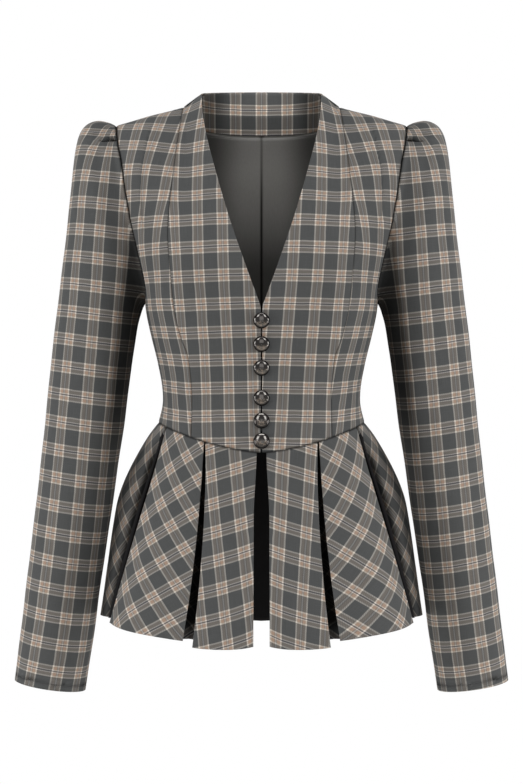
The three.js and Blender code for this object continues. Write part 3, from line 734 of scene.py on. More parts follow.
# Dark polished metal, with a low relief over the lower half of each dome whose raised flecks are paler and
# warmer, and a dark rim with painted shade on the dome beside it
def metal_material(name):
    material, tree, shader = new_material(name)
    place = node(tree, "ShaderNodeTexCoord").outputs["Object"]
    relief = noise(tree, place, 480.0, 3.0, 0.6)
    low = painted(tree, "relief")
    # Raised flecks of the relief on the lower part of the dome are paler and warmer
    pale_flecks = low * maths("MULTIPLY", relief - 0.42, 5.0, clamp=True)
    colour = blend(tree, pale_flecks, linear(108, 105, 102), linear(158, 144, 131))
    feed(shader, {
        "Base Color": blend(tree, painted(tree, "edge"), colour, linear(30, 29, 29)),
        "Roughness": low * 0.14 + 0.13,
        "Metallic": 1.0,
        "Normal": bump(tree, 0.7, 0.0005, relief * (low * 0.9 + 0.1)),
    })
    return material


PLAID = plaid_material("plaid_cloth")
GREY_LINING = lining_material("grey_lining", linear(163, 161, 157), 0.5, 0.35)
BLACK_LINING = lining_material("black_lining", linear(25, 24, 25), 0.7, 0.1)
GUNMETAL = metal_material("gunmetal")


# Bodice

# The dart from the front shoulder, and the cloth that it takes up
DART_LINE = [(132, -34), (135.1, -52), (139.9, -80), (141.6, -111), (139.7, -141), (134, -164)]
DART_STEP = 0.8
DART_SHADE = (0.28, 1.1)
DART_TAKES = table(["z", "mm"], [[-170, 0], [-150, 1.4], [-111, 4.2], [-80, 5], [-52, 5], [-30, 4]])
FRONT_FOLDS = [
    (-1.2, 2.4, DART_LINE),
    (0.7, 4.0, [(127, -40), (133, -80), (135, -120)]),
    (-0.8, 2.2, [(115, -160), (109, -176), (105, -188)]),
    (0.6, 2.6, [(119, -168), (113, -182), (108, -196)]),
    (-0.7, 2.2, [(110.5, -192), (109.5, -212), (107, -232)]),
    (0.5, 2.6, [(115, -196), (114, -216), (111, -236)]),
    (-0.7, 4.0, [(86, -352), (97, -366), (108, -372)]),
    (-0.5, 5.0, [(90, -318), (104, -330), (113, -338)]),
    (-0.6, 5.0, [(36, -262), (60, -284), (76, -294)]),
    (-0.5, 6.0, [(48, -236), (70, -252), (90, -262)]),
]
BACK_FOLDS = [
    (-1.1, 3.0, [(128, -38), (131, -62), (134, -92), (133, -120)]),
    (0.7, 4.5, [(122, -44), (125, -80), (127, -112)]),
    (-0.8, 4.0, [(96, -150), (92, -178), (86, -206)]),
    (-0.7, 5.0, [(104, -196), (94, -226), (80, -250)]),
    (-0.9, 5.0, [(20, -318), (44, -330), (62, -334)]),
    (-0.7, 6.0, [(70, -312), (92, -326), (110, -332)]),
    (-0.6, 6.0, [(16, -292), (36, -300), (54, -300)]),
]
WEFT_SPREAD_Z = -190.0
WEFT_SPREAD = 0.038
# The puckers along a seam and the soft unevenness of the cloth, in millimetres
PUCKER_HEIGHT, PUCKER_REACH = 0.16, 5.0
SOFT_HEIGHT = 0.3
# The neck edge has no seam, so the nearest counts as far off
NO_SEAM = 99
# Half the span that slopes and lengths across a panel are read over, as a share of it
READ_SPAN = 0.01


def bodice_panel(name, panel, line, width):
    p, q = np.broadcast_arrays(shares(width, 3.0)[None, :], shares(BODICE_LENGTH, 3.2)[:, None])
    points = panel(p, q)
    angle, z = panel.where(p, q)
    x = points[..., 0]
    normal = normal_of(panel, p, q, inside_torso(points))
    # Each side edge stands half a seam's gap back
    half = SEAM_GAP / 2
    span = panel(np.minimum(1, p + READ_SPAN), q) - panel(np.maximum(0, p - READ_SPAN), q)
    span_p = np.linalg.norm(span, axis=-1)
    along = np.where(p == 0, 1, np.where(p == 1, -1, 0)) * half * READ_SPAN / span_p
    points = panel(p + along, q)
    points[0, :, 2] += half
    if panel is BACK_CENTRE:
        points[:, 0, 0] = half
        points[-1, :, 2] -= half
    else:
        normal[-1, :, 1] = 0
        points[-1, :, 1] += half * panel.face
    normal[-1] = unit(normal[-1])
    inner = points - normal * BODICE_WALL
    across, up = arc_along(points, 1), arc_along(points, 0)
    from_outer = across[:, -1:] - across
    from_inner = across + (NO_SEAM if panel is FRONT_CENTRE else 0)
    distance = np.minimum(np.minimum(from_inner, from_outer), np.minimum(up, up[-1:] - up))
    puckers = hump(distance, PUCKER_HEIGHT * np.sin((z + x) * 0.9), PUCKER_REACH)
    soft = SOFT_HEIGHT * np.sin(x * 0.11 + z * 0.035) * np.sin(z * 0.07 - x * 0.03)
    folds = folds_at(x, z, FRONT_FOLDS if panel.face == FRONT else BACK_FOLDS)
    out = (folds + soft) * smoothstep(distance, 0, 5) + puckers * smoothstep(distance, 0, 1.5)
    outer = points + normal * (out - hump(distance, *SEAM_DIP))[..., None]
    uv = GRAINS[panel.face].uv(angle, z, line)
    # Painted shade in the seams and the waist seam
    dark = np.maximum(hump(distance, *SEAM_SHADE), hump(up, *WAIST_SHADE))
    if panel.face == FRONT:
        uv[..., 1] -= WEFT_SPREAD * np.maximum(0, z - WEFT_SPREAD_Z) / WEFT_REPEAT
    if panel is FRONT_SIDE:
        dart = np.array(DART_LINE[::-1], float)
        beyond = smoothstep(x - np.interp(z, dart[:, 1], dart[:, 0]), -1.2, 1.2)
        uv[..., 0] += read(DART_TAKES, "z", z)["mm"] * beyond / WARP_REPEAT
        uv[..., 1] -= DART_STEP * beyond * smoothstep(z, -170, -130) / WEFT_REPEAT
        # Painted shade along the dart
        away, place = near_line(x, z, DART_LINE)
        dark = np.maximum(dark, hump(away, *DART_SHADE) * (1 - smoothstep(place, 0.75, 1)))
    # Painted shade in the armhole seam, above the underarm
    if panel in (FRONT_SIDE, BACK_SIDE):
        above = smoothstep(z, UNDERARM_Z - 12, UNDERARM_Z + 4)
        dark = np.maximum(dark, hump(from_outer, *ARMHOLE_SHADE) * above)
    pair(name, outer, inner, uv, [PLAID, GREY_LINING], dark=dark)


bodice_panel("front_centre", FRONT_CENTRE, GRAIN_CENTRE, 105)
bodice_panel("front_side", FRONT_SIDE, GRAIN_SIDE, 95)
bodice_panel("back_centre", BACK_CENTRE, None, 100)
bodice_panel("back_side", BACK_SIDE, BACK_PRINCESS, 105)


# The band that stands up at the back neck
def collar(p, q):
    share = np.abs(p)
    base = BACK_CENTRE(np.minimum(1, share), np.ones_like(share))
    base[..., 2] += SEAM_GAP
    turn = (1 - share) * math.pi / 2
    top = np.stack([
        COLLAR_TOP_HALF_WIDTH * np.cos(turn),
        COLLAR_BACK_Y * np.sin(turn),
        mix(COLLAR_SIDE_Z, COLLAR_BACK_Z, np.sin(turn)),
    ], axis=-1)
    point = mix(base, top, q[..., None])
    point[..., 0] *= np.where(p < 0, -1, 1)
    return point


def standing_normal(share, q):
    normal = normal_of(collar, np.clip(share, 0.01, 0.99), q, 0)
    normal[..., 2] = 0
    return unit(normal)


COLLAR_COLUMNS, COLLAR_HEIGHT = 101, 30
COLLAR_WEFT = 4


def add_collar():
    p, q = np.meshgrid(np.linspace(-1, 1, COLLAR_COLUMNS), shares(COLLAR_HEIGHT, 2.5))
    outward = standing_normal(np.abs(p), q)
    outward[..., 0] *= np.sign(p)
    outer = collar(p, q)
    outer[:, [0, -1], 1] += SEAM_GAP / 2
    inner = outer - outward * BODICE_WALL
    across, up = arc_along(outer, 1), arc_along(outer, 0)
    across = across - across[:, [COLLAR_COLUMNS // 2]]
    uv = np.stack([across / WARP_REPEAT, (up + COLLAR_WEFT) / WEFT_REPEAT], axis=-1)
    outer = outer - outward * hump(up, *SEAM_DIP)[..., None]
    # Painted shade in the seam at the collar's foot
    piece("cloth_collar_back", outer, inner, uv, [PLAID, PLAID], ["collar_back"],
          dark=hump(up, *SEAM_SHADE))


FACING_END = 0.93
FACING_FOOT = SOLID_ROWS[-4]
FACING_BAND, FACING_WEFT, FACING_WEFT_Z = 31.8, 30.0, 4.4
FACING_SIDE_RISE = 0.016
LINING_EDGE = 0.875
LINING_UNDER = 0.007


def facing_foot(share):
    return FACING_FOOT + FACING_SIDE_RISE * np.minimum(1, share / FACING_END) ** 2


def add_facing():
    p = np.linspace(-1, 1, COLLAR_COLUMNS)
    low = np.concatenate([[0, 0.03], np.linspace(0.1, 1, 11)])
    high = np.linspace(0, 0.96, 14)[1:]
    depth = BODICE_WALL + LAYER_GAP
    layers = ([], [])
    share = np.minimum(FACING_END, np.abs(p))
    turned = np.clip(share, 0.01, FACING_END)
    slack = 5 * LAYER_GAP * np.maximum(0, np.abs(p) - 0.5)

    def lying_at(q, point):
        return normal_of(BACK_CENTRE, turned, np.minimum(q, 0.99), inside_torso(point))

    for part, rows in (("back", low), ("collar", high)):
        for q in rows:
            one = np.full_like(share, q)
            if part == "back":
                one = mix(facing_foot(share), 1, q)
                point = BACK_CENTRE(share, one)
                lying = lying_at(one, point)
                stand = standing_normal(turned, np.zeros_like(share))
                outward = unit(mix(lying, unit(lying + stand), smoothstep(q, low[-3], 1)))
            else:
                point = collar(share, one)
                stand = standing_normal(turned, one)
                lying = lying_at(np.ones_like(share), BACK_CENTRE(share, np.ones_like(share)))
                outward = unit(mix(stand, unit(lying + stand), 1 - smoothstep(q, 0, high[3])))
            for layer, d in zip(layers, (depth, depth + LINING_WALL)):
                moved = point - outward * (d + slack)[:, None]
                moved[:, 0] *= np.where(p < 0, -1, 1)
                layer.append(moved)
    outer, inner = np.array(layers[0]), np.array(layers[1])
    uv = np.stack([inner[..., 0] / FACING_BAND, (inner[..., 2] - FACING_WEFT_Z) / FACING_WEFT], axis=-1)
    # Painted light and shade: the middle is painted lighter, the ends lie in the shade of the fronts, and the
    # seam at the foot is painted darker
    at_ends = smoothstep(np.abs(inner[..., 0]), 38, 62)
    dark = hump(arc_along(inner, 0), *SEAM_SHADE) + mix(-0.75, 0.1, at_ends)
    piece("cloth_neck_facing", outer, inner, uv, [PLAID, PLAID], ["neck_facing"], dark=dark)


def add_lining():
    middle = [0, 0.00001, 0.0001, 0.0005, 0.0015, 0.003, 0.007, 0.012, 0.02, 0.03]
    p = np.concatenate([middle, np.linspace(0.05, LINING_EDGE, 26)])[None, :]
    top = facing_foot(p) - LINING_UNDER
    q = mix(0.012, top, np.linspace(0, 1, 90)[:, None])
    p, q = np.broadcast_arrays(p, q)
    points = BACK_CENTRE(p, q)
    normal = normal_of(BACK_CENTRE, p, q, inside_torso(points))
    outer = points - normal * (BODICE_WALL + LAYER_GAP)
    x, z = points[..., 0], points[..., 2]
    fold = hump(x - 0.3, 1, 1.2)
    inner = outer - normal * (LINING_WALL - 0.8 * fold)[..., None]
    uv = np.stack([points[..., 0] / WARP_REPEAT, points[..., 2] / WEFT_REPEAT], axis=-1)
    # Painted light and shade: the light falls off to the sides, down the back and under the facing, and the
    # centre fold is painted darker, more so lower down
    lit = mix(0.72, 1, smoothstep(-z, 30, 85)) * mix(1, 0.18, smoothstep(-z, 60, 200))
    lit = lit * mix(1, 0.3, smoothstep(np.abs(x), 20, 66))
    dark = 1 - lit * (1 - mix(0.4, 0.88, smoothstep(-z, 30, 120)) * fold)
    pair("lining_back", outer, inner, uv, [GREY_LINING, GREY_LINING], dark=dark)


add_collar()
add_facing()
add_lining()


# Sleeves

SLEEVE = table(["outX", "outZ", "inX", "inZ", "depth", "y", "oval"], [
    [183, -19.5, 140.6, -239.2, 54, 1, 0.1],
    [197, -17.5, 141.6, -240.8, 57, 1, 0.28],
    [209, -22, 142.6, -243, 60, 1, 0.5],
    [217, -32, 143.6, -246, 62, 1, 0.7],
    [222, -49, 144.8, -250, 63, 1, 0.86],
    [226, -77, 146.2, -255, 62, 0, 0.95],
    [229.5, -114, 148.5, -265, 61, 0, 1],
    [234, -156, 151.5, -284, 60, -1, 1],
    [239.5, -203, 155.5, -309, 59, -2, 1],
    [245.5, -252, 159.6, -343, 57, -3, 1],
    [251.5, -305, 164, -379, 55.5, -5, 1],
    [257, -362, 169.5, -416, 54, -7, 1],
    [263, -422, 176, -463, 52, -10, 1],
    [270, -485, 183.5, -516, 51, -13, 1],
    [277, -545, 191.5, -570, 50, -16, 1],
    [284.5, -609, 199, -628, 48.5, -18, 1],
    [293.4, -684.5, 209.4, -697.3, 47, -21, 1],
])
# How much of the tuck in the head each of the first rings has
TUCK_RINGS = [0, 1, 0.8, 0.4, 0.1]


# The tuck of the gathered head: a lip and a crease, by the count of solid columns from the shoulder's tip
def tuck_out(column):
    return hump(column - 2.05, 4.6, 0.75) + hump(column - 3.0, -4.6, 0.42)


# Rings at any step between the given ones
def resample_rings(rings, steps):
    count = len(rings)
    i = np.clip(np.floor(steps).astype(int), 0, count - 2)
    t = (steps - i)[:, None, None]
    low, high = np.maximum(i - 1, 0), np.minimum(i + 2, count - 1)
    a, b = rings[i], rings[i + 1]
    slope_a = (b - rings[low]) / (i + 1 - low)[:, None, None]
    slope_b = (rings[high] - a) / (high - i)[:, None, None]
    return hermite(t, a, b, slope_a, slope_b)


# The first ring is the armhole seam, and the next ones fade from its shape into ovals
def sleeve_rings():
    solid_open = SOLID_ROWS[SOLID_ROWS >= UNDERARM_RISE - 1e-9]
    counts = [3, 3, 5, 6, 7, 7, 7, 7, 8, 14, 9, 7, 3]
    parts = [np.linspace(solid_open[k], solid_open[k + 1], n + 1)[:-1] for k, n in enumerate(counts)]
    fine = np.concatenate(parts + [[1.0]])
    from_tip = len(counts) - np.interp(fine, solid_open, np.arange(len(solid_open)))
    front = FRONT_SIDE(np.ones_like(fine), fine)[::-1]
    back = BACK_SIDE(np.ones_like(fine), fine)[1:-1]
    loop = np.concatenate([front, back])
    column = np.concatenate([from_tip[::-1], from_tip[1:-1]])
    top = loop[0]
    bottom = loop[np.argmin(loop[:, 2])]
    middle, half = (top + bottom) / 2, (top - bottom) / 2
    lengths = np.linalg.norm(np.roll(loop, -1, axis=0) - loop, axis=-1)
    turn = np.concatenate([[0], np.cumsum(lengths)[:-1]]) / lengths.sum() * 2 * math.pi
    offset = loop - middle
    rise = offset[:, 2] / half[2]
    bulge = offset[:, 0] - half[0] * rise
    rings = [loop + [SEAM_GAP, 0, 0]]
    for k in range(len(SLEEVE["y"])):
        row = {name: SLEEVE[name][k] for name in SLEEVE}
        centre = np.array([(row["outX"] + row["inX"]) / 2, row["y"], (row["outZ"] + row["inZ"]) / 2])
        reach = np.array([(row["outX"] - row["inX"]) / 2, 0, (row["outZ"] - row["inZ"]) / 2])
        up = mix(rise, np.cos(turn), row["oval"])
        side = mix(offset[:, 1], -row["depth"] * np.sin(turn), row["oval"])
        ring = centre + reach * up[:, None]
        ring[:, 1] += side
        ring[:, 0] += bulge * (1 - row["oval"])
        share = TUCK_RINGS[k + 1] if k + 1 < len(TUCK_RINGS) else 0
        ring += unit(ring - centre) * (tuck_out(column) * share)[:, None]
        rings.append(ring)
    return np.array(rings), turn


# The sleeve's outline, and the line that the middle of one warp band follows
SLEEVE_OUTLINE = {
    "z": np.append(SLEEVE["outZ"][:2:-1], -18),
    "x": np.append(SLEEVE["outX"][:2:-1], 200),
}
SLEEVE_BAND = table(["z", "x"], [
    [-700, 245], [-644, 238], [-245, 195], [-146, 188.5], [-80, 185], [-59, 183], [-20, 180],
])
SLEEVE_HALF_WIDTH, SLEEVE_HALF_DEPTH = 42.5, 55.0
SLEEVE_WEFT = 32.9
SLEEVE_WEFT_SLOPE = 0.195
SLEEVE_WEFT_Z = -252.8
# Above this height the weft climbs on the head, by this much for each square millimetre
SLEEVE_HEAD_Z, SLEEVE_HEAD_CLIMB = -60.0, 0.012
# The rows of the head lean too far over to read the grain from
SLEEVE_HEAD_ROWS = 5
SLEEVE_SOFT, SLEEVE_PUCKER = 0.35, 0.2
CREASE_SHADE, BESIDE_SHADE = (0.97, 1.0), 0.75
# The seam allowance lies under the edge of the bodice, this far over and in
ALLOWANCE_OVER, ALLOWANCE_IN = 3.0, 2.4

HEAD_CREASE = [(193.5, -46), (190, -44.4), (186, -43.6), (179, -43), (171, -44.2), (164, -47)]
SLEEVE_FRONT_FOLDS = [
    (-3.2, 1.9, HEAD_CREASE),
    (1.5, 3.0, [(187, -40.5), (179, -39), (170, -40)]),
    (-0.9, 1.5, [(191, -29.6), (186, -31.5), (180, -34.5)]),
    (-1.0, 1.5, [(202, -34.6), (194, -36.6), (185, -39.3)]),
    (-1.1, 1.7, [(197, -37.6), (198, -45.7), (203.5, -53)]),
    (0.9, 2.2, [(204.5, -52), (201.5, -66)]),
    (-0.8, 1.8, [(208, -74), (204, -80), (203, -90)]),
    (-1.1, 6.0, [(193, -46), (192.5, -66), (194, -92)]),
    (0.8, 7.0, [(178, -54), (180, -84), (183, -110)]),
    (-0.4, 8.0, [(214, -120), (208, -150), (206, -180)]),
    (-0.9, 8.0, [(188, -236), (204, -252), (222, -262)]),
    (0.7, 9.0, [(186, -262), (206, -280), (230, -288)]),
    (-0.9, 9.0, [(196, -330), (216, -346), (238, -352)]),
    (0.7, 10.0, [(200, -366), (220, -380), (244, -384)]),
    (-0.8, 9.0, [(206, -404), (222, -420), (240, -428)]),
    (-0.8, 11.0, [(226, -520), (240, -548), (246, -580)]),
]
SLEEVE_BACK_FOLDS = [
    (-2.2, 2.2, [(192, -51), (186, -47), (178, -46.5), (168, -49)]),
    (1.2, 3.2, [(186, -40), (177, -39.4), (169, -41)]),
    (-0.9, 1.7, [(200, -37), (192, -39), (184, -43)]),
    (-1.0, 6.0, [(190, -52), (188, -76), (190, -104)]),
    (-0.9, 7.0, [(208, -110), (204, -140), (206, -170)]),
    (-1.3, 8.0, [(178, -250), (200, -262), (226, -268)]),
    (1.0, 9.0, [(182, -282), (204, -296), (232, -300)]),
    (-1.3, 8.0, [(192, -318), (212, -330), (240, -334)]),
    (1.0, 9.0, [(198, -350), (216, -362), (244, -366)]),
    (-1.1, 9.0, [(204, -388), (222, -400), (246, -404)]),
    (-0.7, 11.0, [(230, -500), (242, -530), (248, -562)]),
]


# Arc lengths round an oval from its outer side, at each turn
def ellipse_arc(wide, deep):
    turns = np.linspace(-math.pi * 1.5, math.pi * 1.5, 1201)
    speed = np.hypot(wide * np.sin(turns), deep * np.cos(turns))
    arc = np.concatenate([[0], np.cumsum((speed[1:] + speed[:-1]) / 2)]) * (turns[1] - turns[0])
    return turns, arc - np.interp(0, turns, arc)


# The grain: the warp runs down the sleeve, and the weft round it and level with the body's
def sleeve_uv(points):
    x, y, z = points[..., 0], points[..., 1], points[..., 2]
    middle_z = ((SLEEVE["outZ"] + SLEEVE["inZ"]) / 2)[SLEEVE_HEAD_ROWS:]
    centre_y = np.interp(z, middle_z[::-1], SLEEVE["y"][:SLEEVE_HEAD_ROWS - 1:-1])
    deep = np.interp(z, middle_z[::-1], SLEEVE["depth"][:SLEEVE_HEAD_ROWS - 1:-1])
    middle_x = read(SLEEVE_OUTLINE, "z", z)["x"] - SLEEVE_HALF_WIDTH
    turn = np.arctan2(-(y - centre_y) / deep, (x - middle_x) / SLEEVE_HALF_WIDTH)
    turn = np.unwrap(turn, axis=1)
    turn = turn - np.where(turn[:, :1] > 0, 2 * math.pi, 0)
    turns, arc = ellipse_arc(SLEEVE_HALF_WIDTH, SLEEVE_HALF_DEPTH)
    band_x = (read(SLEEVE_BAND, "z", z)["x"] - middle_x) / SLEEVE_HALF_WIDTH
    band_turn = np.arccos(np.clip(band_x, -1, 1))
    u = (np.interp(turn, turns, arc) - np.interp(band_turn, turns, arc)) / WARP_REPEAT
    v = (z - SLEEVE_WEFT_SLOPE * (x - middle_x) - SLEEVE_WEFT_Z) / SLEEVE_WEFT
    head = np.maximum(0, z - SLEEVE_HEAD_Z)
    return np.stack([u, v + SLEEVE_HEAD_CLIMB * head**2 / SLEEVE_WEFT], axis=-1)


def add_sleeves():
    rings, turn = sleeve_rings()
    near = [0, 0.05, 0.12, 0.2, 0.32, 0.5, 0.7, 0.9]
    steps = np.concatenate([near, np.linspace(1.1, 6, 34), np.linspace(6, 17, 118)[1:-1], [16.9, 16.97, 17]])
    points = resample_rings(rings, steps)
    # Columns start at the underarm, where the cloth's edges meet
    start = int(np.argmin(np.abs(turn - math.pi)))
    points = np.roll(points, -start, axis=1)
    along_v = np.gradient(points, axis=0)
    along_u = np.roll(points, -1, axis=1) - np.roll(points, 1, axis=1)
    normal = unit(np.cross(along_u, along_v))
    centre = points.mean(axis=1, keepdims=True)
    flip = np.sum(normal * (points - centre), axis=-1, keepdims=True) < 0
    normal = np.where(flip, -normal, normal)
    closed = np.concatenate([points, points[:, :1]], axis=1)
    uv = sleeve_uv(closed)
    down = arc_along(points, 0)
    x, y, z = points[..., 0], points[..., 1], points[..., 2]
    middle_z = (SLEEVE["outZ"] + SLEEVE["inZ"]) / 2
    centre_y = np.interp(z, middle_z[::-1], SLEEVE["y"][::-1])
    before = smoothstep(centre_y - y, 0, 14)
    behind = smoothstep(y - centre_y, 0, 14)
    moved = folds_at(x, z, SLEEVE_FRONT_FOLDS) * before + folds_at(x, z, SLEEVE_BACK_FOLDS) * behind
    moved = moved + SLEEVE_SOFT * np.sin(x * 0.09 + z * 0.05) * np.sin(z * 0.045 - y * 0.04)
    moved = moved * smoothstep(down, 0, 6) * smoothstep(down[-1:] - down, 0, 30)
    dip = hump(down, *SEAM_DIP)
    puckers = SLEEVE_PUCKER * np.sin(z * 0.8) * smoothstep(down, 0, 1.5)
    moved = moved + hump(down, puckers, PUCKER_REACH) - dip
    outer = points + normal * moved[..., None]
    inner = outer - normal * (SLEEVE_WALL - dip * 0.6)[..., None]
    # Painted shade in the crease of the tuck at the front of the head
    from_crease, place = near_line(x, z, HEAD_CREASE)
    along_crease = smoothstep(np.minimum(place, 1 - place), -0.05, 0.2)
    crease = hump(from_crease, *CREASE_SHADE) * along_crease * before
    # Next to the body the sleeve is in shade
    inwards = (read(SLEEVE_OUTLINE, "z", z)["x"] - SLEEVE_HALF_WIDTH - x) / SLEEVE_HALF_WIDTH
    beside = BESIDE_SHADE * smoothstep(inwards, 0.68, 0.98) * smoothstep(z, -470, -330)
    beside = beside * (1 - smoothstep(z, -165, -110))
    # Painted shade in the armhole seam at the top of the sleeve
    seam = np.maximum(hump(down, *SEAM_SHADE), hump(down, *ARMHOLE_SHADE))
    dark = np.maximum(seam, np.maximum(crease, beside))
    radial = unit(points[:1] - centre[:1])
    under = points[:1] - [ALLOWANCE_OVER, 0, 0] - radial * ALLOWANCE_IN
    outer = np.concatenate([under, outer])
    inner = np.concatenate([under - radial * 0.6 * SLEEVE_WALL, inner])
    uv = np.concatenate([uv[:1], uv])
    dark = np.concatenate([dark[:1], dark])
    pair("sleeve", outer, inner, uv, [PLAID, GREY_LINING], tube=True, dark=dark)


add_sleeves()


# Peplum

PEPLUM = [
    # name, start, end, hem at the start and end, how far behind, fullness
    ("front", 88.2, 62, -635.5, -633, 0, 2),
    ("side_front", 62, 27, -625, -611, 0, 5),
    ("side", 27, -28, -607, -608, 12, 1),
    ("side_back", -28, -62, -612, -626, 0, 5),
]
BACK_PIECE = ("back", -62, -90, -629, -632, 0, 3)
BELL_TURNS = np.array([90, 62, 27, 0, -28, -62, -90], float)
PEPLUM_BELL = table(["drop", "t0", "t1", "t2", "t3", "t4", "t5", "t6"], [
    [0, 0, 0, 0, 0, 0, 0, 0],
    [0.075, 0.04, 0.01, 0.075, 0.19, 0.1, 0.1, 0.13],
    [0.204, 0.14, 0.06, 0.204, 0.44, 0.26, 0.26, 0.31],
    [0.327, 0.25, 0.14, 0.327, 0.63, 0.4, 0.4, 0.46],
    [0.416, 0.33, 0.21, 0.416, 0.73, 0.49, 0.49, 0.55],
    [0.518, 0.44, 0.31, 0.518, 0.79, 0.59, 0.59, 0.65],
    [0.646, 0.58, 0.46, 0.646, 0.85, 0.71, 0.71, 0.76],
    [0.774, 0.73, 0.63, 0.774, 0.91, 0.82, 0.82, 0.86],
    [1, 1, 1, 1, 1, 1, 1, 1],
])


# The share of the flare reached at a drop, between the values of the two nearest turns
def bell_at(degrees, drop):
    row = read(PEPLUM_BELL, "drop", drop)
    columns = np.stack([row[f"t{i}"] for i in range(len(BELL_TURNS))], axis=-1)
    place = np.interp(-degrees, -BELL_TURNS, np.arange(len(BELL_TURNS)))
    i = np.clip(place.astype(int), 0, len(BELL_TURNS) - 2)[..., None]
    low = np.take_along_axis(columns, i, -1)[..., 0]
    high = np.take_along_axis(columns, i + 1, -1)[..., 0]
    return mix(low, high, place - i[..., 0])


# The peplum's outer face without its pleats, and the direction out of it
def peplum_form(degrees, drop, hem):
    degrees, drop, hem = np.broadcast_arrays(*(np.asarray(a, float) for a in (degrees, drop, hem)))
    turn = np.radians(np.abs(degrees))
    front = degrees >= 0
    face = np.where(front, FRONT, BACK)
    z = np.where(front, waist_z(turn, FRONT), waist_z(turn, BACK))
    seam = np.where(front[..., None], torso(turn, z, FRONT), torso(turn, z, BACK))
    level = read(TORSO, "z", z)
    reach = np.where(front, level["front"], level["back"])
    power = level["round"] - 1
    out_x = signed_power(seam[..., 0] / level["half"], power) / level["half"]
    out_y = face * (np.abs(seam[..., 1] - level["side"]) / reach) ** power / reach
    outward = unit(np.stack([out_x, out_y, np.zeros_like(out_x)], axis=-1))
    share = np.cos(turn)
    end_flare = np.where(front, FLARE_FRONT, FLARE_BACK)
    flare = mix(end_flare, FLARE_SIDE, share)
    point = seam + outward * (flare * bell_at(degrees, drop))[..., None]
    point[..., 2] = mix(z - WAIST_GAP, hem, drop)
    return point, outward


# Across one half of a pleat, from its middle to its fold: the place along the piece, and the depth
def pleat_section(drop):
    gap = mix(PLEAT_GAP_WAIST, PLEAT_GAP_HEM, drop**GAP_OPENING) / 2
    recess = mix(RECESS_WAIST, RECESS_HEM, drop**PLEAT_OPENING)
    tuck = mix(TUCK_WAIST, TUCK_HEM, drop)
    bottom = [gap + tuck * 0.3, recess]
    side = [gap + tuck, recess * 0.55]
    corners = np.array([[SEAM_GAP / 2, recess], bottom, side, [gap, 0]])
    between = [[0, 0.25, 0.5, 0.75], [0, 0.25, 0.5, 0.75], [0, 0.3, 0.6, 0.85]]
    line = [mix(corners[k], corners[k + 1], t) for k in range(3) for t in between[k]]
    return np.array(line + [corners[3]])


# The inner side of a wall, from the line of its outer side
def thicken(line, wall):
    before, after = np.roll(line, 1, axis=0), np.roll(line, -1, axis=0)
    first, second = line - before, after - line
    first[0], second[-1] = second[0], first[-1]
    side_a = unit(first) @ np.array([[0, 1], [-1, 0]])
    side_b = unit(second) @ np.array([[0, 1], [-1, 0]])
    spread = 1 + np.sum(side_a * side_b, axis=-1, keepdims=True)
    return line + (side_a + side_b) * wall / np.maximum(0.45, spread)


# The painted shade inside a pleat, darker with its depth and a little lighter at the hem
def pleat_shade(deep, drop):
    depth = mix(RECESS_WAIST, RECESS_HEM, drop**PLEAT_OPENING)
    return 0.95 * smoothstep(deep, 0.5, 0.35 * depth + 0.5) * (1 - 0.5 * smoothstep(drop, 0.9, 1))


# The front edge leaves the centre below the waist, and the hem's corners are rounded, in millimetres
EDGE_INSET = 2.6
CORNER_LIFT_INNER, CORNER_LIFT_OUTER = 5.2, 2.1

# The side piece turns away from the front, and lies in the shade of the fold beside it
SIDE_SHADE, SIDE_FOLD_SHADE, SIDE_FOLD_REACH = 0.42, 0.95, 26.0

# The fold between the side front and the side piece leans round towards the side, in degrees at the hem
SIDE_FOLD, SIDE_FOLD_LEAN = 27, 8.0


# How far along it a piece comes out from behind the one before
BEHIND_REACH = 45


def leaning(degrees, drop):
    return degrees - SIDE_FOLD_LEAN * drop if degrees == SIDE_FOLD else degrees


# Slow waves of each piece below the waist: their height in millimetres, how they turn along the piece and
# where they start, and how they turn down it
PEPLUM_WAVES = {
    "front": (1.1, 7.2, 0.6, 2.2),
    "side_front": (1.3, 8.4, 1.9, 2.4),
    "side": (1.0, 9.0, 0.3, 2.0),
    "side_back": (1.4, 8.0, 1.1, 2.3),
    "back": (1.2, 6.6, 1.4, 2.2),
}


def waves_at(name, share, drop):
    height, along, start, down = PEPLUM_WAVES[name]
    out = height * drop * np.sin(along * share + start) * np.sin(down * drop)
    return out * (1 - share) if name == "back" else out


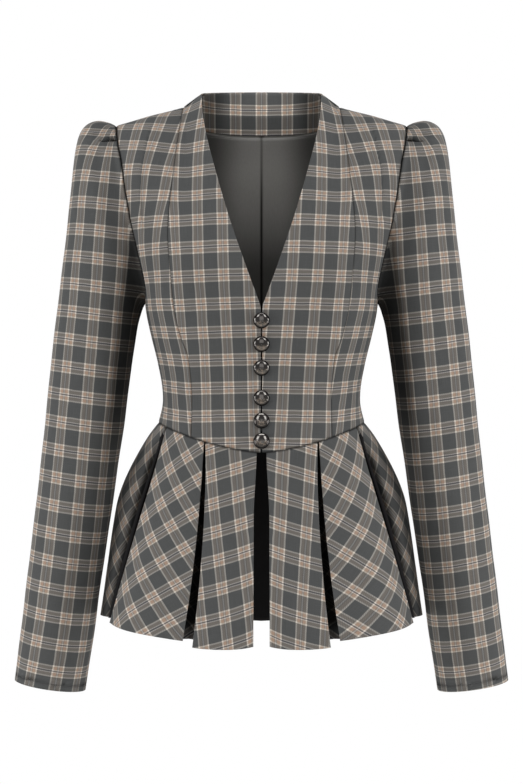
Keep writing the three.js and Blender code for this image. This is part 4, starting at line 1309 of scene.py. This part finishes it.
# A piece row by row from the waist: its faces, the lengths across its cloth, and its painted shade in the
# pleats, on the side piece and at the waist seam
def peplum_grid(row, pleat_at_start, pleat_at_end, columns):
    name, start, end, hem_start, hem_end, behind_by, full = row
    drops = shares(PEPLUM_LENGTH, 3.0)
    outer, inner, flat, dark = [], [], [], []
    fine = np.linspace(0, 1, 41)
    for drop in drops:
        def at(share):
            hem = mix(hem_start, hem_end, share)
            if name == "front":
                hem = hem + CORNER_LIFT_INNER * (1 - share) ** 4 + CORNER_LIFT_OUTER * share**4
            return peplum_form(mix(leaning(start, drop), leaning(end, drop), share), drop, hem)
        curve = at(fine)[0]
        span = np.linalg.norm(np.diff(curve, axis=0), axis=-1).sum()
        section = pleat_section(drop)
        edge = section[-1, 0]
        begin = edge if pleat_at_start else SEAM_GAP / 2
        if name == "front":
            begin += EDGE_INSET * smoothstep(drop, 0, 0.35)
        finish = span - (edge if pleat_at_end else 0)
        near = 0.8 / (finish - begin)
        share = np.concatenate([[0, near], np.linspace(0, 1, columns + 1)[1:-1], [1 - near, 1]])
        along = mix(begin, finish, share)
        behind = behind_by * drop * np.maximum(0, 1 - (along - begin) / BEHIND_REACH) ** 2
        fullness = full * drop * np.sin(math.pi * share) + waves_at(name, share, drop)
        line = np.stack([along, behind - fullness], axis=-1)
        shade = np.zeros(len(line))
        if name == "side":
            beyond = smoothstep(along - begin, 0.25 * SIDE_FOLD_REACH, SIDE_FOLD_REACH)
            away = SIDE_SHADE * (1 - smoothstep(share, 0.35, 0.75))
            shade = np.maximum(away, SIDE_FOLD_SHADE * (1 - beyond)) * smoothstep(drop, 0, 0.2)
        if pleat_at_start:
            lead = section[:-1].copy()
            shade = np.concatenate([pleat_shade(lead[:, 1], drop), shade])
            lead[:, 1] += behind_by * drop * 0.3
            line = np.concatenate([lead, line])
        if pleat_at_end:
            tail = section.copy()
            tail[:, 0] = span - tail[:, 0]
            shade = np.concatenate([shade[:-1], pleat_shade(tail[::-1, 1], drop)])
            line = np.concatenate([line[:-1], tail[::-1]])
        deeper = thicken(line, PEPLUM_WALL)
        for target, points in ((outer, line), (inner, deeper)):
            form, outward = at(points[:, 0] / span)
            target.append(form - outward * points[:, 1:2])
        arc = arc_along(line, 0)
        flat.append(arc - (arc[0] + arc[-1]) / 2)
        dark.append(np.maximum(shade, hump(drop * PEPLUM_LENGTH, *WAIST_SHADE)))
    outer, inner = np.array(outer), np.array(inner)
    # The waist seam's groove
    sunk = hump(drops * PEPLUM_LENGTH, *SEAM_DIP)[:, None, None] * unit(inner - outer)
    return outer + sunk, inner, np.array(flat), np.array(dark)


# Degrees of the warp and the weft from each piece's own length and width
PEPLUM_GRAIN = {
    "front": (10.0, 21.0),
    "side_front": (41.0, 43.0),
    "side": (52.0, 52.0),
    "side_back": (42.0, 42.0),
    "back": (0.0, 0.0),
}


def peplum_uv(name, outer, across):
    warp, weft = (math.radians(degrees) for degrees in PEPLUM_GRAIN[name])
    down = arc_along(outer, 0).mean(axis=1, keepdims=True)
    u = across * math.cos(warp) + down * math.sin(warp)
    v = down * math.cos(weft) - across * math.sin(weft)
    return np.stack([u / WARP_REPEAT, -v / WEFT_REPEAT], axis=-1)


def add_peplum():
    for i, row in enumerate(PEPLUM):
        outer, inner, flat, dark = peplum_grid(row, i > 0, True, 30)
        uv = peplum_uv(row[0], outer, flat)
        pair(f"peplum_{row[0]}", outer, inner, uv, [PLAID, BLACK_LINING], dark=dark)
    outer, inner, flat, dark = peplum_grid(BACK_PIECE, True, False, 30)
    flat = flat - flat[:, -1:]
    uv = peplum_uv("back", outer, flat)

    def whole(grid, flip):
        grid = grid.copy()
        other = grid[:, :-1][:, ::-1].copy()
        other[..., 0] *= -1
        if flip:
            grid[:, -1, 0] = 0
        return np.concatenate([grid, other], axis=1)

    dark = np.concatenate([dark, dark[:, :-1][:, ::-1]], axis=1)
    piece("cloth_peplum_back", whole(outer, True), whole(inner, True), whole(uv, False),
          [PLAID, BLACK_LINING], ["peplum_back"], dark=dark)


LINING_REACH = 22.0
LINING_HEM_Z = -628.0
LINING_SIDE_RISE = 22.0
LINING_WAIST, LINING_HEM = 5.2, 26.0


def add_peplum_lining():
    drops = np.linspace(0.02, 1, 70)[:, None]
    degrees = np.linspace(LINING_REACH, 180 - LINING_REACH, 141)[None, :]
    turn = np.where(degrees > 90, 180 - degrees, degrees)
    hem = LINING_HEM_Z + LINING_SIDE_RISE * np.cos(np.radians(turn)) ** 2
    point, outward = peplum_form(-turn, drops, hem)
    depth = mix(LINING_WAIST, LINING_HEM, drops**PLEAT_OPENING)
    mirror = np.where(degrees > 90, -1, 1)[..., None]
    waves = np.sin(np.radians(degrees) * 11 + 0.7) + 0.6 * np.sin(np.radians(degrees) * 19 + 2.1)
    depth = depth + 1.6 * drops * waves

    def layer(extra):
        made = point - outward * (depth + extra)[..., None]
        made[..., 0:1] *= mirror
        return made

    outer, inner = layer(0), layer(LINING_WALL)
    uv = np.stack([outer[..., 0] / WARP_REPEAT, outer[..., 2] / WEFT_REPEAT], axis=-1)
    piece("cloth_lining_peplum", outer, inner, uv, [BLACK_LINING] * 2, ["lining_peplum"])


add_peplum()
add_peplum_lining()


# Buttons

BUTTON_HEIGHTS = [-261.1, -287.9, -315.2, -349.8, -375.9, -399.2]
BUTTON_RADIUS = 9.3
BUTTON_STAND_OFF = 0.5
DOME_RADIUS, DOME_FOOT, DOME_HEIGHT = 9.1, 2.3, 3.9
TIP_RADIUS = 0.02
RIM_LINE = [(0.0, 0.0), (6.0, 0.0), (7.8, 0.15), (8.9, 0.7), (9.3, 1.5), (9.25, 2.2)]


def add_buttons():
    swing = np.linspace(0.06, 1, 26) * math.pi / 2
    radius = np.concatenate([[r for r, _ in RIM_LINE], DOME_RADIUS * np.cos(swing)])
    height = np.concatenate([[h for _, h in RIM_LINE], DOME_FOOT + DOME_HEIGHT * np.sin(swing)])
    radius[0] = radius[-1] = TIP_RADIUS
    around = np.linspace(0, 2 * math.pi, 72, endpoint=False)
    r, h = (line[:, None] * np.ones_like(around) for line in (radius, height))
    on_dome = (np.arange(len(radius)) >= len(RIM_LINE))[:, None]
    share = r / DOME_RADIUS
    upper = smoothstep(np.sin(around), -0.1, 0.3)
    # The rim is dark, and painted shade darkens the dome towards it, from further in on its lower half
    edge = np.where(on_dome, 0.88 * smoothstep(share, mix(0.62, 0.8, upper), mix(0.84, 0.97, upper)), 1)
    relief = np.where(on_dome, 1 - smoothstep(share * np.sin(around), -0.25, 0.1), 0) * (1 - edge)
    points = np.stack([r * np.cos(around), r * np.sin(around), h], axis=-1)
    rows, columns = points.shape[:2]
    foot = np.arange(columns)
    head = (rows - 1) * columns + foot
    for k, z in enumerate(BUTTON_HEIGHTS):
        seat, above, below = (
            torso(math.pi / 2, z + up, FRONT)[1] for up in (0, BUTTON_RADIUS, -BUTTON_RADIUS)
        )
        base = min(seat, (above + below) / 2) - BUTTON_STAND_OFF
        tilt = math.pi / 2 - math.atan2(above - below, 2 * BUTTON_RADIUS)
        c, s = math.cos(tilt), math.sin(tilt)
        y = base + points[..., 1] * c - points[..., 2] * s
        placed = np.stack([points[..., 0], y, z + points[..., 1] * s + points[..., 2] * c], axis=-1)
        flat = placed.reshape(-1, 3)
        faces = squares(rows, columns, columns)[2]
        if volume(flat, faces) < 0:
            faces = faces[:, ::-1]
        mesh = bpy.data.meshes.new(f"metal_button_{k + 1}")
        mesh.from_pydata((flat * MM).tolist(), [], faces.tolist() + [foot.tolist(), head[::-1].tolist()])
        mesh.materials.append(GUNMETAL)
        paint(mesh, "relief", relief)
        paint(mesh, "edge", edge)
        mesh.shade_smooth()
        obj = add_object(f"metal_button_{k + 1}", mesh)
        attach(obj, "root")
        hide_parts(f"button_{k + 1}")


add_buttons()


# Camera, lights and floor

CAMERA_DISTANCE = 2.6
CAMERA_Z = -0.343
FLOOR_Z, FLOOR_REACH = -1.15, 1.5
SKY_LIGHT, BACKDROP_LIGHT = 0.2, 1.0

camera_data = bpy.data.cameras.new("camera")
camera_data.lens = 99.49
camera_data.sensor_width = 36
camera = add_object("camera", camera_data)
camera.location = (0, -CAMERA_DISTANCE, CAMERA_Z)
camera.rotation_euler = (math.pi / 2, 0, 0)
bpy.context.scene.camera = camera


def area_light(name, place, target, size, power):
    data = bpy.data.lights.new(name, "AREA")
    data.shape = "RECTANGLE"
    data.size, data.size_y = size
    data.energy = power
    light = add_object(name, data)
    light.location = place
    light.rotation_euler = (Vector(target) - Vector(place)).to_track_quat("-Z", "Y").to_euler()


for side, word in ((-1, "left"), (1, "right")):
    area_light(f"key_{word}", (side * 1.3, -2.1, 1.3), (0, 0, -0.3), (0.9, 1.3), 14.5)
    area_light(f"back_{word}", (side * 1.6, 2.3, 0.9), (0, 0, -0.3), (0.9, 1.3), 14)
    area_light(f"side_{word}", (side * 2.4, -0.9, -0.6), (0, 0, -0.4), (0.7, 1.6), 38)
area_light("front", (0, -3.4, 0.1), (0, 0, -0.35), (1.6, 1.6), 6)
area_light("top", (0, -0.7, 2.2), (0, 0, -0.1), (1.8, 1.0), 27)

floor_mesh = bpy.data.meshes.new("floor")
corners = [(x * FLOOR_REACH, y * FLOOR_REACH, FLOOR_Z) for x, y in ((-1, -1), (1, -1), (1, 1), (-1, 1))]
floor_mesh.from_pydata(corners, [], [(0, 1, 2, 3)])
floor_material, _, floor_shader = new_material("floor")
feed(floor_shader, {"Base Color": linear(232, 231, 228), "Roughness": 0.9})
floor_mesh.materials.append(floor_material)
floor = add_object("floor", floor_mesh)

# The backdrop looks white to the camera, and lights the jacket only a little
world = bpy.data.worlds.new("studio")
bpy.context.scene.world = world
world.use_nodes = True
tree = world.node_tree
tree.nodes.clear()
camera_ray = node(tree, "ShaderNodeLightPath").outputs["Is Camera Ray"]
skies = [
    node(tree, "ShaderNodeBackground", {0: (1, 1, 1, 1), 1: strength}).outputs[0]
    for strength in (SKY_LIGHT, BACKDROP_LIGHT)
]
mixed = node(tree, "ShaderNodeMixShader", {0: camera_ray, 1: skies[0], 2: skies[1]}).outputs[0]
node(tree, "ShaderNodeOutputWorld", {0: mixed})
bpy.context.scene.view_settings.view_transform = "Standard"
